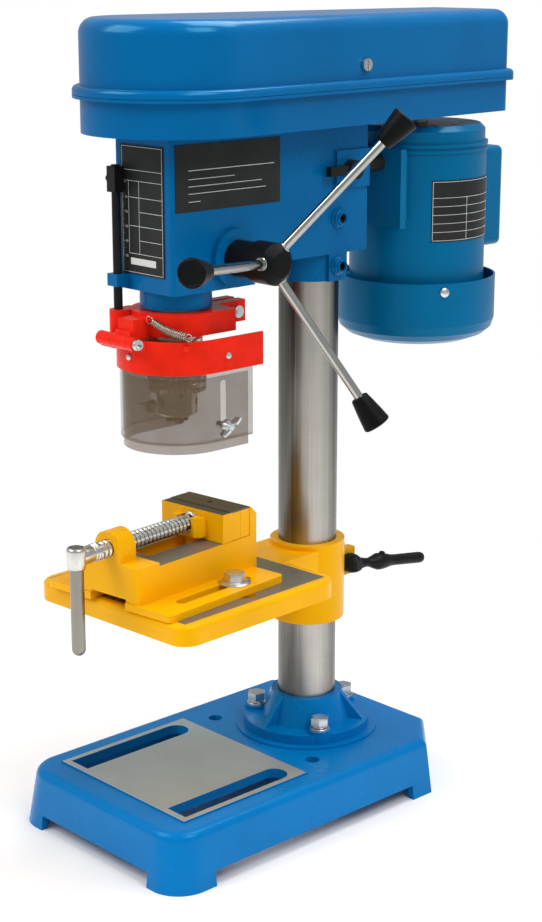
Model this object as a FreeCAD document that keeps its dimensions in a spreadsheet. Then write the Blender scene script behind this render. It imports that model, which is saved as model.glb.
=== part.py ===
"""Bench drill press with a 13 mm key chuck, belt drive, chuck guard and drill vise.

The machine stands on the plane z = 0 with its front towards -Y.  Every size is a cell of the
sheet "Sizes"; every sub-part is built in the frame of what it turns or slides on, and is put
in the machine by its own Placement.
"""
import FreeCAD, Part
import math
import os
import re
import Sketcher
from FreeCAD import Placement, Rotation, Vector

SIZES = {
    # Where the column stands from the centre of the machine's outline on the bench.
    "column_x": -19.88,
    "column_y": 25.65,
    # Clearances: between moving pieces, between turned fits, under seated pieces.
    "free_gap": 0.3,
    "running_gap": 0.05,
    # Base casting.
    "base_half_width": 95.8,
    "base_front": 221.5,
    "base_rear": 83.0,
    "base_height": 44.8,
    "base_wall": 6.0,
    "base_plate": 6.5,
    "base_draft": 7.0,
    "base_front_round": 26.0,
    "base_rear_chamfer": 36.0,
    "base_edge_round": 7.0,
    "base_arch_height": 11.6,
    "base_foot_front": 39.0,
    "base_foot_rear": 57.0,
    "base_foot_side": 33.0,
    "work_plate_half_width": 72.7,
    "work_plate_front": 193.6,
    "work_plate_rear": 69.6,
    "work_plate_rise": 1.0,
    "work_slot_x": 57.5,
    "work_slot_width": 20.0,
    "work_slot_front": 187.5,
    "work_slot_rear": 80.0,
    "bench_hole_x": 56.5,
    "bench_hole_y": 48.7,
    "bench_hole_radius": 5.5,
    "flange_pad_radius": 57.0,
    "flange_pad_rise": 1.5,
    # Column and its flange.
    "column_radius": 23.0,
    "column_wall": 2.5,
    "column_length": 427.0,
    "flange_radius": 50.5,
    "flange_thickness": 7.5,
    "flange_boss_rise": 2.7,
    "flange_boss_radius": 9.5,
    "socket_base_radius": 36.0,
    "socket_top_radius": 28.5,
    "socket_top_height": 29.0,
    "flange_rib_reach": 47.5,
    "flange_rib_width": 5.0,
    "flange_bolt_circle": 42.4,
    "bolt_radius": 4.0,
    "bolt_head_flats": 13.0,
    "bolt_head_height": 6.2,
    "lock_washer_radius": 6.2,
    "lock_washer_height": 2.2,
    "washer_radius": 7.8,
    "washer_height": 1.5,
    # Head casting.
    "head_half_width": 31.0,
    "head_front": 161.8,
    "head_rear": 30.8,
    "head_top": 528.0,
    "head_rear_bottom": 431.7,
    "head_front_bottom": 418.0,
    "head_corner_round": 3.0,
    "neck_radius": 26.0,
    "neck_bottom": 405.0,
    "column_clamp_radius": 29.0,
    "column_clamp_bottom": 411.0,
    "clamp_ear_half_length": 9.0,
    "clamp_screw_high": 458.2,
    "clamp_screw_low": 422.5,
    "clamp_screw_radius": 4.0,
    "clamp_nut_radius": 7.5,
    "clamp_nut_top_radius": 6.0,
    "clamp_nut_height": 4.0,
    "clamp_screw_stand": 6.5,
    "head_cavity_half_width": 22.0,
    "head_cavity_front": 94.0,
    "head_cavity_rear": 34.0,
    "head_cavity_floor": 468.0,
    # Spindle line.
    "spindle_reach": 132.8,
    "quill_radius": 20.0,
    "quill_bottom": 388.0,
    "quill_length": 106.0,
    "quill_travel": 50.0,
    "spindle_radius": 8.0,
    "spindle_top": 584.0,
    "spindle_nose_length": 30.0,
    "spindle_nose_radius": 7.6,
    "spindle_nose_tip_radius": 6.9,
    "bearing_radius": 16.0,
    "bearing_height": 10.0,
    "chuck_top": 384.0,
    "chuck_radius": 19.0,
    "chuck_sleeve_radius": 21.5,
    "chuck_sleeve_top": 367.0,
    "chuck_sleeve_bottom": 343.0,
    "chuck_nose_radius": 14.8,
    "chuck_nose_bottom": 324.6,
    "chuck_key_hole_radius": 3.0,
    "chuck_key_height": 335.5,
    "chuck_grip_radius": 3.0,
    "chuck_jaw_width": 4.6,
    "chuck_jaw_length": 24.0,
    "chuck_jaw_proud": 6.0,
    "chuck_jaw_tilt": 15.0,
    # Rack, pinion and feed handle.
    "gear_module": 1.25,
    "pinion_teeth": 14.0,
    "feed_height": 440.0,
    "pinion_length": 20.0,
    "feed_housing_radius": 21.0,
    "feed_housing_face": 36.0,
    "feed_hub_radius": 13.2,
    "feed_hub_end": 58.0,
    "feed_boss_radius": 15.0,
    "feed_boss_end": 76.0,
    "feed_boss_cap_radius": 9.0,
    "feed_boss_cap_end": 81.0,
    "feed_lever_x": 68.0,
    "feed_lever_cone": 25.7,
    "feed_lever_turn": 53.5,
    "feed_lever_radius": 3.3,
    "feed_lever_length": 124.0,
    "feed_grip_length": 24.5,
    "feed_grip_start": 113.5,
    "feed_grip_root_radius": 6.8,
    "feed_grip_end_radius": 10.0,
    "feed_shaft_into_hub": 22.0,
    "spring_case_radius": 21.0,
    "spring_case_depth": 14.0,
    "spring_case_wall": 2.0,
    "spring_band": 0.6,
    "spring_turns": 4.0,
    # Depth rod, pointer and scale.
    "depth_rod_x": 21.8,
    "depth_rod_forward": 35.4,
    "depth_rod_radius": 3.2,
    "depth_rod_top": 506.0,
    "depth_lug_half_width": 5.5,
    "depth_lug_forward": 40.5,
    "depth_lug_height": 8.8,
    "pointer_bottom": 487.0,
    "pointer_height": 18.0,
    "pointer_half_width": 4.5,
    "scale_plate_half_width": 22.9,
    "scale_plate_bottom": 429.7,
    "scale_plate_top": 520.2,
    "scale_plate_thickness": 0.8,
    "side_plate_front": 161.8,
    "side_plate_rear": 60.0,
    "side_plate_bottom": 475.7,
    "side_plate_top": 522.0,
    "side_plate_thickness": 0.5,
    # Chuck guard.
    "guard_collar_radius": 33.0,
    "guard_collar_bottom": 387.6,
    "guard_collar_height": 16.0,
    "guard_collar_tail": 28.0,
    "guard_web_top": 401.0,
    "guard_clamp_gap": 4.0,
    "guard_clamp_reach": 58.0,
    "guard_clamp_y": 49.0,
    "guard_spring_hook": 1.2,
    "guard_ring_radius": 43.4,
    "guard_ring_wall": 2.0,
    "guard_ring_bottom": 362.0,
    "guard_ring_height": 24.0,
    "guard_tail": 45.0,
    "guard_screen_wall": 1.6,
    "guard_screen_bottom": 311.0,
    "guard_screen_tail": 36.5,
    "guard_slider_wall": 1.4,
    "guard_slider_top": 358.0,
    "guard_slider_bottom": 304.0,
    "guard_slider_tail": 33.6,
    "guard_slot_y": 10.0,
    "guard_slot_half_width": 3.2,
    "guard_slot_top": 355.0,
    "guard_slot_bottom": 318.0,
    "guard_screw_height": 321.5,
    "guard_screw_radius": 2.5,
    "guard_hinge_forward": 50.0,
    "guard_hinge_height": 385.0,
    "guard_hinge_left": 24.0,
    "guard_hinge_right": 15.0,
    "guard_hinge_radius": 3.0,
    "guard_ear_radius": 6.5,
    "guard_ear_width": 6.0,
    # Pulleys, belt and cover.
    "pulley_bottom": 536.0,
    "pulley_step": 12.0,
    "groove_depth": 6.0,
    "spindle_pulley_large": 53.0,
    "spindle_pulley_change": 6.0,
    "motor_pulley_small": 20.0,
    "motor_pulley_change": 6.0,
    "pulley_sleeve_radius": 12.0,
    "belt_thickness": 5.0,
    "belt_width": 6.0,
    "cover_front_radius": 65.0,
    "cover_rear": 182.0,
    "cover_rear_round": 9.0,
    "cover_wall": 1.6,
    "cover_seam": 554.4,
    "cover_top": 606.5,
    "cover_top_round": 11.0,
    "cover_bead": 5.4,
    "cover_bead_height": 6.4,
    "cover_pan_bead": 2.2,
    "cover_screw_x": 54.0,
    "cover_screw_y": 2.0,
    "cover_screw_z": 571.0,
    # Motor and its slide.
    "motor_reach": 121.0,
    "motor_radius": 54.0,
    "motor_bottom": 372.0,
    "motor_top": 520.0,
    "motor_end_height": 13.0,
    "motor_wall": 3.0,
    "motor_ridge_rise": 0.9,
    "motor_ridge_height": 2.5,
    "motor_end_inset": 1.5,
    "motor_shaft_radius": 7.0,
    "cowl_radius": 63.5,
    "cowl_wall": 1.5,
    "cowl_top": 400.5,
    "cowl_bottom": 350.0,
    "cowl_flat_radius": 45.0,
    "cowl_shoulder": 364.0,
    "cowl_screw_height": 394.0,
    "cowl_screw_turn": -27.0,
    "cowl_screw_radius": 2.0,
    "cowl_screw_head": 4.0,
    "fan_radius": 48.0,
    "fan_blade_height": 10.0,
    "box_half_width": 25.0,
    "box_rear": 76.0,
    "box_bottom": 418.0,
    "box_top": 498.5,
    "box_wall": 2.0,
    "box_round": 5.0,
    "rating_plate_half_angle": 36.0,
    "rating_plate_bottom": 432.0,
    "rating_plate_top": 479.5,
    "rating_plate_thickness": 0.5,
    "bracket_front": 58.0,
    "bracket_thickness": 6.0,
    "bracket_half_width": 40.0,
    "bracket_bottom": 445.0,
    "bracket_top": 505.0,
    "slide_rod_x": 18.0,
    "slide_rod_height": 494.0,
    "slide_rod_radius": 6.0,
    "slide_rod_reach": 12.0,
    "slide_pad_front": 4.0,
    "slide_pad_bottom": 480.0,
    "slide_pad_top": 508.0,
    "slide_pad_rise": 2.5,
    "motor_slide": 15.0,
    "tension_screw_y": 9.0,
    "tension_lever_length": 26.0,
    # Table.
    "table_swing": 3.0,
    "table_top": 200.5,
    "table_half_width": 80.0,
    "table_front": 210.4,
    "table_rear": 52.0,
    "table_thickness": 15.0,
    "table_web": 9.0,
    "table_corner_round": 14.0,
    "table_edge_round": 4.0,
    "table_land": 7.0,
    "table_slot_width": 14.0,
    "table_slot_inner": 22.0,
    "table_slot_outer": 60.0,
    "table_hole_radius": 9.0,
    "collar_radius": 29.5,
    "collar_top": 203.0,
    "collar_bottom": 139.0,
    "collar_split": 3.0,
    "collar_ear_reach": 47.0,
    "collar_ear_half_width": 9.0,
    "collar_ear_height": 175.0,
    "collar_ear_half_height": 11.0,
    "table_screw_radius": 4.0,
    "table_screw_y": 37.0,
    "table_lever_lean": 15.0,
    "table_lever_length": 58.0,
    "table_lever_turn": 5.0,
    "table_lever_radius": 4.6,
    # Drill vise.
    "vise_turn": 3.0,
    "vise_back": 152.5,
    "vise_half_width": 62.0,
    "vise_length": 121.0,
    "vise_flange": 5.4,
    "vise_body_half_width": 31.0,
    "vise_bed": 30.0,
    "vise_front_rise": 2.5,
    "vise_front_depth": 22.0,
    "vise_corner_round": 4.0,
    "vise_notch_half_width": 17.5,
    "vise_notch_height": 7.5,
    "vise_jaw_chamfer": 6.0,
    "vise_neck_half_width": 14.0,
    "vise_neck_length": 9.5,
    "vise_neck_chamfer": 4.0,
    "vise_neck_top": 47.5,
    "vise_bed_slot": 18.0,
    "vise_height": 52.0,
    "vise_screw_height": 42.0,
    "vise_bridge_length": 16.0,
    "vise_bridge_radius": 12.5,
    "vise_jaw_front": 98.0,
    "vise_jaw_plate": 10.0,
    "vise_fixed_jaw_end": 27.5,
    "vise_key_front": 34.0,
    "vise_key_bottom": 2.0,
    "vise_bridge_front": 1.0,
    "vise_bolt_y": 84.0,
    "vise_head_outer": 8.0,
    "vise_moving_jaw": 9.3,
    "vise_nose_radius": 8.0,
    "vise_thread_radius": 6.5,
    "vise_thread_pitch": 4.0,
    "vise_head_reach": 29.0,
    "vise_head_radius": 7.0,
    "vise_handle_radius": 5.0,
    "vise_handle_drop": 67.0,
    "vise_slot_half_length": 38.0,
    "vise_slot_half_width": 4.2,
    "vise_slot_x": 46.0,
    "vise_slot_y": 62.0,
    "vise_bolt_flats": 14.0,
    "vise_bolt_head": 6.0,
    "vise_washer_radius": 12.0,
    # Guard spring, cover hinge, switch and small fittings.
    "guard_spring_x": 11.6,
    "guard_spring_forward": 34.6,
    "guard_spring_z": 400.0,
    "guard_spring_length": 27.5,
    "guard_spring_turn": 22.5,
    "guard_spring_slope": 18.5,
    "guard_spring_radius": 2.6,
    "guard_spring_wire": 0.45,
    "cover_taper": 0.076,
    "cover_hinge_offset": 8.2,
    "cover_hinge_radius": 2.6,
    "cover_hinge_length": 16.0,
    "switch_front": 78.0,
    "switch_rear": 22.0,
    "switch_depth": 22.0,
    "switch_bottom": 446.0,
    "switch_top": 520.0,
    "switch_wall": 2.0,
    "button_radius": 9.0,
    "button_high": 502.0,
    "button_low": 468.0,
    "button_travel": 2.0,
    "table_slot_y": 129.0,
    "gland_radius": 8.0,
    "gland_length": 14.0,
    "fan_bottom": 355.0,
    "stator_bottom": 412.0,
    "stator_top": 488.0,
}

document = FreeCAD.newDocument("bench_drill_press")
sheet = document.addObject("Spreadsheet::Sheet", "Sizes")
for row, (alias, value) in enumerate(SIZES.items(), start=1):
    sheet.set(f"A{row}", alias)
    sheet.set(f"B{row}", str(value))
    sheet.setAlias(f"B{row}", alias)
document.recompute()

SUB_PARTS = []
ALONG = {
    "Z": Rotation(),
    "X": Rotation(Vector(0, 1, 0), 90),
    "Y": Rotation(Vector(1, 0, 0), -90),
}
COLUMN = ("column_x", "column_y", "0")
SPINDLE = ("column_x", "column_y - spindle_reach", "0")
MOTOR = ("column_x", "column_y + motor_reach", "0")
FEED_Y = "spindle_reach - quill_radius + gear_module - gear_module * pinion_teeth / 2"
FEED = ("column_x", f"column_y - ({FEED_Y})", "feed_height")
TURNED = "table_swing"
VISE = (
    "column_x + vise_back * sin(table_swing)",
    "column_y - vise_back * cos(table_swing)",
    "table_top",
)
VISE_TURNED = "table_swing + vise_turn"
FLANGE_SEAT = "base_height + flange_pad_rise"
BOLT_SEAT = f"{FLANGE_SEAT} + flange_thickness + flange_boss_rise"


# ------------------------------------------------------------------ formulas and placing
def size(alias):
    """The number a cell holds."""
    return float(sheet.get(alias))


def cells(formula):
    """A formula on cell names, with each name pointed at the sheet."""
    return re.sub(r"\b[a-z]+(?:_[a-z]+)+\b", lambda name: "Sizes." + name.group(0), str(formula))


def drive(thing, **formulas):
    """Bind properties of a feature to formulas."""
    for name, formula in formulas.items():
        thing.setExpression(name, cells(formula))
    return thing


def stand(thing, x="0", y="0", z="0"):
    """Bind the position of a feature to formulas."""
    for axis, formula in zip("xyz", (x, y, z)):
        thing.setExpression(f".Placement.Base.{axis}", cells(formula))
    return thing


def settle(thing, label, frame, turn=None):
    """Make a feature a sub-part: name it and put it in the machine."""
    if thing.TypeId not in ("PartDesign::Body", "Part::Compound") or thing.ExpressionEngine:
        thing = group(thing)
    thing.Label = label
    if turn is not None:
        thing.Placement = Placement(Vector(), Rotation(Vector(0, 0, 1), 1))
        thing.setExpression(".Placement.Rotation.Angle", cells(turn))
    stand(thing, *frame)
    SUB_PARTS.append(thing)
    return thing


# ------------------------------------------------------------------ solids of the Part kind
def rod(radius, length, x="0", y="0", z="0", along="Z"):
    """A cylinder that runs from a point along an axis."""
    thing = document.addObject("Part::Cylinder", "Rod")
    thing.Placement = Placement(Vector(), ALONG[along])
    drive(thing, Radius=radius, Height=length)
    return stand(thing, x, y, z)


def taper(first, last, length, x="0", y="0", z="0", along="Z"):
    """A cone from one radius to another."""
    thing = document.addObject("Part::Cone", "Taper")
    thing.Placement = Placement(Vector(), ALONG[along])
    drive(thing, Radius1=first, Radius2=last, Height=length)
    return stand(thing, x, y, z)


def ball(radius, x="0", y="0", z="0"):
    """A sphere round a point."""
    return stand(drive(document.addObject("Part::Sphere", "Ball"), Radius=radius), x, y, z)


def block(width, depth, height, x="0", y="0", z="0"):
    """A box centred on x and y that stands on z."""
    thing = document.addObject("Part::Box", "Block")
    drive(thing, Length=width, Width=depth, Height=height)
    return stand(thing, f"({x}) - ({width}) / 2", f"({y}) - ({depth}) / 2", z)


def span(x_low, x_high, y_low, y_high, z_low, z_high):
    """A box between two values on each axis."""
    thing = document.addObject("Part::Box", "Span")
    drive(
        thing,
        Length=f"({x_high}) - ({x_low})",
        Width=f"({y_high}) - ({y_low})",
        Height=f"({z_high}) - ({z_low})",
    )
    return stand(thing, x_low, y_low, z_low)


def hexagon(flats, height, x="0", y="0", z="0", along="Z"):
    """A hexagonal prism given by its width across flats."""
    thing = document.addObject("Part::Prism", "Hexagon")
    thing.Polygon = 6
    thing.Placement = Placement(Vector(), ALONG[along])
    drive(thing, Circumradius=f"({flats}) / 2 / cos(30)", Height=height)
    return stand(thing, x, y, z)


def ring(radius, thickness, x="0", y="0", z="0", along="Z"):
    """A torus by the radius of its centre line and of its wire."""
    thing = document.addObject("Part::Torus", "Ring")
    thing.Placement = Placement(Vector(), ALONG[along])
    drive(thing, Radius1=radius, Radius2=thickness)
    return stand(thing, x, y, z)


def join(*things):
    """One solid from several that overlap."""
    if len(things) == 1:
        return things[0]
    thing = document.addObject("Part::MultiFuse", "Join")
    thing.Shapes = list(things)
    thing.Refine = True
    return thing


def cut(base, *tools):
    """A solid less other solids."""
    thing = document.addObject("Part::Cut", "Cut")
    thing.Base = base
    thing.Tool = join(*tools)
    thing.Refine = True
    return thing


def common(first, second):
    """What two solids share."""
    thing = document.addObject("Part::MultiCommon", "Common")
    thing.Shapes = [first, second]
    return thing


def group(*things):
    """Separate solids in one sub-part."""
    thing = document.addObject("Part::Compound", "Group")
    thing.Links = list(things)
    return thing


def turned(thing, angle, axis=(0, 0, 1), x="0", y="0", z="0"):
    """A solid turned about an axis by a formula in degrees, then moved."""
    holder = group(thing)
    holder.Placement = Placement(Vector(), Rotation(Vector(*axis), 1))
    holder.setExpression(".Placement.Rotation.Angle", cells(angle))
    return stand(holder, x, y, z)


def around(make, count, start="0"):
    """Copies of what make() gives, spread evenly about Z."""
    return [turned(make(), f"{start} + {360 * index / count}") for index in range(count)]


def tube(outer, inner, length, x="0", y="0", z="0", along="Z"):
    """A ring-shaped cylinder."""
    return cut(rod(outer, length, x, y, z, along), rod(inner, length, x, y, z, along))


# ------------------------------------------------------------------ solids of the PartDesign kind
def new_body():
    """An empty PartDesign body."""
    return document.addObject("PartDesign::Body", "Body")


def flat_sketch(body, role, height="0"):
    """A sketch on one of the body's own planes, moved along its normal."""
    sketch = body.newObject("Sketcher::SketchObject", "Outline")
    plane = next(item for item in body.Origin.OriginFeatures if item.Role == role)
    sketch.AttachmentSupport = [(plane, "")]
    sketch.MapMode = "FlatFace"
    sketch.setExpression(".AttachmentOffset.Base.z", cells(height))
    return sketch


def fix_point(sketch, index, end, x, y):
    """Bind one end of an edge to formulas for its place in the sketch."""
    for kind, formula in (("DistanceX", x), ("DistanceY", y)):
        row = sketch.addConstraint(Sketcher.Constraint(kind, -1, 1, index, end, 1.0))
        sketch.setExpression(f"Constraints[{row}]", cells(formula))


def polygon(sketch, corners):
    """A closed outline through corners given by formulas."""
    count = len(corners)
    guess = [2 * math.pi * index / count for index in range(count)]
    points = [Vector(math.cos(turn), math.sin(turn), 0) for turn in guess]
    for index in range(count):
        sketch.addGeometry(Part.LineSegment(points[index], points[(index + 1) % count]))
    for index in range(count):
        sketch.addConstraint(Sketcher.Constraint("Coincident", index, 2, (index + 1) % count, 1))
    for index, (x, y) in enumerate(corners):
        fix_point(sketch, index, 1, x, y)
    return sketch


def circle(sketch, radius, x="0", y="0"):
    """A circle given by formulas."""
    index = sketch.addGeometry(Part.Circle(Vector(0, 0, 0), Vector(0, 0, 1), 1))
    fix_point(sketch, index, 3, x, y)
    row = sketch.addConstraint(Sketcher.Constraint("Radius", index, 1.0))
    sketch.setExpression(f"Constraints[{row}]", cells(radius))
    return sketch


def rectangle(sketch, x_low, x_high, y_low, y_high):
    """A rectangle between formulas."""
    corners = [(x_low, y_low), (x_high, y_low), (x_high, y_high), (x_low, y_high)]
    return polygon(sketch, corners)


def pad(body, sketch, length, draft=None):
    """Raise an outline into a solid."""
    feature = body.newObject("PartDesign::Pad", "Pad")
    feature.Profile = sketch
    drive(feature, Length=length)
    if draft is not None:
        drive(feature, TaperAngle=draft)
    return feature


def pocket(body, sketch, length, upwards=False, draft=None):
    """Sink an outline into the solid, down from the sketch unless told otherwise."""
    feature = body.newObject("PartDesign::Pocket", "Pocket")
    feature.Profile = sketch
    feature.Reversed = upwards
    drive(feature, Length=length)
    if draft is not None:
        drive(feature, TaperAngle=draft)
    return feature


def revolve(profile):
    """A body turned from a profile of (radius, height) corners about Z."""
    body = new_body()
    sketch = polygon(flat_sketch(body, "XZ_Plane"), profile)
    feature = body.newObject("PartDesign::Revolution", "Turned")
    feature.Profile = sketch
    feature.ReferenceAxis = (sketch, ["V_Axis"])
    feature.Angle = 360
    return body


def round_edges(body, radius, wanted, kind="Fillet"):
    """Round (or chamfer) the edges of the body so far that a test picks."""
    document.recompute()
    base = body.Tip
    names = [f"Edge{n}" for n, edge in enumerate(base.Shape.Edges, start=1) if wanted(edge)]
    feature = body.newObject(f"PartDesign::{kind}", kind)
    feature.Base = (base, names)
    drive(feature, **({"Radius": radius} if kind == "Fillet" else {"Size": radius}))
    return feature


def upright(edge):
    """Whether an edge runs mostly along Z."""
    if len(edge.Vertexes) != 2:
        return False
    run = edge.Vertexes[1].Point - edge.Vertexes[0].Point
    return abs(run.z) > 0.9 * run.Length


def level_at(edge, height):
    """Whether an edge lies wholly at a height."""
    box = edge.BoundBox
    return abs(box.ZMin - height) < 0.01 and abs(box.ZMax - height) < 0.01


# ------------------------------------------------------------------ base, flange and column
def base_corners(inset):
    """The base's outline, moved in by an inset, with both rear corners cut off."""
    half = f"base_half_width - ({inset})"
    rear = f"base_rear - ({inset})"
    slope = f"base_rear_chamfer - ({inset}) * 0.586"
    return half, rear, slope


def base_casting():
    """The hollow foot: drafted walls on four feet, the ground work plate and its two slots."""
    body = new_body()
    half, rear, slope = base_corners("0")
    outline = [
        (f"-({half})", "-base_front"),
        (half, "-base_front"),
        (half, f"{rear} - ({slope})"),
        (f"{half} - ({slope})", rear),
        (f"-({half} - ({slope}))", rear),
        (f"-({half})", f"{rear} - ({slope})"),
    ]
    pad(body, polygon(flat_sketch(body, "XY_Plane"), outline), "base_height", "-base_draft")
    front = -size("base_front") + size("base_height")
    round_edges(body, "base_front_round", lambda edge: upright(edge) and edge.CenterOfMass.y < front)
    top = size("base_height")
    round_edges(body, "base_edge_round", lambda edge: level_at(edge, top))
    hollow_base(body)
    return settle(shape_base_top(body), "base_casting", COLUMN)


def hollow_base(body):
    """Clear the inside of the foot, leaving its walls and top plate."""
    half, rear, slope = base_corners("base_wall")
    corner = "base_front_round"
    inside = [
        (f"-({half} - {corner})", "-base_front + base_wall"),
        (f"{half} - {corner}", "-base_front + base_wall"),
        (half, f"-base_front + base_wall + {corner}"),
        (half, f"{rear} - ({slope})"),
        (f"{half} - ({slope})", rear),
        (f"-({half} - ({slope}))", rear),
        (f"-({half})", f"{rear} - ({slope})"),
        (f"-({half})", f"-base_front + base_wall + {corner}"),
    ]
    sketch = polygon(flat_sketch(body, "XY_Plane"), inside)
    pocket(body, sketch, "base_height - base_plate", upwards=True, draft="-base_draft")


def shape_base_top(body):
    """Cut the arches, the slots and the holes, and raise the two machined areas."""
    raised = [
        span(
            "-work_plate_half_width",
            "work_plate_half_width",
            "-work_plate_front",
            "-work_plate_rear",
            "base_height - base_plate / 2",
            "base_height + work_plate_rise",
        ),
        rod("flange_pad_radius", "flange_pad_rise + base_plate / 2", z="base_height - base_plate / 2"),
    ]
    foot_y = ("-base_front + base_foot_front", "base_rear - base_foot_rear")
    foot_x = "base_half_width - base_foot_side"
    arches = [
        span("-base_half_width", "base_half_width", *foot_y, "0", "base_arch_height"),
        span(f"-({foot_x})", foot_x, "-base_front", "base_rear", "0", "base_arch_height"),
    ]
    tools = arches + base_slots() + bench_holes() + flange_bolt_holes()
    return cut(join(body, *raised), *tools)


def base_slots():
    """The two long slots of the work plate, square in front and round behind."""
    tools = []
    low = "base_height - base_plate - 1"
    deep = "base_plate + work_plate_rise + 2"
    for side in (-1, 1):
        x = f"{side} * work_slot_x"
        middle = "-(work_slot_front + work_slot_rear + work_slot_width / 2) / 2"
        run = "work_slot_front - work_slot_rear - work_slot_width / 2"
        tools.append(block("work_slot_width", run, deep, x, middle, low))
        tools.append(rod("work_slot_width / 2", deep, x, "-work_slot_rear - work_slot_width / 2", low))
    return tools


def bench_holes():
    """The two holes that bolt the foot to a bench."""
    low, deep = "base_height - base_plate - 1", "base_plate + 2"
    return [
        rod("bench_hole_radius", deep, f"{side} * bench_hole_x", "-bench_hole_y", low)
        for side in (-1, 1)
    ]


def flange_bolt_holes():
    """The three threaded holes under the flange bolts."""
    make = lambda: rod(
        "bolt_radius + running_gap",
        "60",
        "flange_bolt_circle",
        z="base_height - base_plate - 1",
    )
    return around(make, 3, "-30")


def column_flange():
    """The cast flange: a disc with three bolt bosses, three ribs and the column's socket."""
    top = f"{FLANGE_SEAT} + flange_thickness"
    boss = lambda: rod(
        "flange_boss_radius",
        "flange_thickness + flange_boss_rise",
        "flange_bolt_circle",
        z=FLANGE_SEAT,
    )
    rise = "socket_top_height - flange_thickness"
    rib = lambda: common(
        span(
            "0",
            "flange_rib_reach",
            "-flange_rib_width / 2",
            "flange_rib_width / 2",
            f"{top} - 1",
            f"{top} + 60",
        ),
        taper("flange_rib_reach", "socket_top_radius", rise, z=top),
    )
    solid = join(
        rod("flange_radius", "flange_thickness", z=FLANGE_SEAT),
        taper("socket_base_radius", "socket_top_radius", rise, z=top),
        *around(boss, 3, "-30"),
        *around(rib, 3, "30"),
    )
    hole = lambda: rod("bolt_radius + running_gap", "60", "flange_bolt_circle", z="base_height")
    bore = rod("column_radius + running_gap", "socket_top_height + 2", z=f"{FLANGE_SEAT} - 1")
    settle(cut(solid, bore, *around(hole, 3, "-30")), "column_flange", COLUMN)


def flange_bolts():
    """Three hexagon bolts with a lock washer and a plain washer each."""
    washers = "washer_height + lock_washer_height"
    grip = "flange_pad_rise + flange_thickness + flange_boss_rise + base_plate"
    make = lambda: join(
        rod("washer_radius", "washer_height", "flange_bolt_circle", z=BOLT_SEAT),
        rod(
            "lock_washer_radius",
            "lock_washer_height",
            "flange_bolt_circle",
            z=f"{BOLT_SEAT} + washer_height",
        ),
        hexagon("bolt_head_flats", "bolt_head_height", "flange_bolt_circle", z=f"{BOLT_SEAT} + {washers}"),
        rod("bolt_radius", f"{grip} + {washers}", "flange_bolt_circle", z=f"{BOLT_SEAT} - ({grip})"),
    )
    settle(group(*around(make, 3, "-30")), "flange_bolts", COLUMN)


def column_tube():
    """The ground steel column."""
    settle(
        tube("column_radius", "column_radius - column_wall", "column_length", z=FLANGE_SEAT),
        "column_tube",
        COLUMN,
    )


# ------------------------------------------------------------------ head
def head_block():
    """The head's box: deep at the quill, shallower behind, with its front corners rounded."""
    body = new_body()
    step = f"-({FEED_Y}) + feed_housing_radius"
    half = "head_half_width"
    front = rectangle(
        flat_sketch(body, "XY_Plane", "head_front_bottom"),
        f"-{half}",
        half,
        "-head_front",
        step,
    )
    pad(body, front, "head_top - head_front_bottom")
    rear = rectangle(flat_sketch(body, "XY_Plane", "head_rear_bottom"), f"-{half}", half, step, "head_rear")
    pad(body, rear, "head_top - head_rear_bottom")
    limit = -size("head_front") + 1
    round_edges(body, "head_corner_round", lambda edge: upright(edge) and edge.CenterOfMass.y < limit)
    return body


def head_bosses():
    """What stands out of the head's box: neck, column clamp, pinion housing, lug and slide pad."""
    clamp_height = "head_rear_bottom - column_clamp_bottom + 1"
    lug_x = "-depth_rod_x"
    lug_front = "-spindle_reach - depth_lug_forward"
    return [
        rod("neck_radius", "head_front_bottom - neck_bottom + 1", y="-spindle_reach", z="neck_bottom"),
        rod("column_clamp_radius", clamp_height, z="column_clamp_bottom"),
        block(
            "head_half_width",
            "2 * clamp_ear_half_length",
            clamp_height,
            "head_half_width / 2",
            z="column_clamp_bottom",
        ),
        rod(
            "feed_housing_radius",
            "head_half_width + feed_housing_face",
            "-head_half_width",
            f"-({FEED_Y})",
            "feed_height",
            along="X",
        ),
        span(
            f"{lug_x} - depth_lug_half_width",
            f"{lug_x} + depth_lug_half_width",
            lug_front,
            "-head_front + head_corner_round",
            "head_front_bottom + 2.5",
            "head_front_bottom + 2.5 + depth_lug_height",
        ),
        span(
            "0",
            "head_half_width + slide_pad_rise",
            "-slide_pad_front",
            "head_rear",
            "slide_pad_bottom",
            "slide_pad_top",
        ),
    ]


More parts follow.
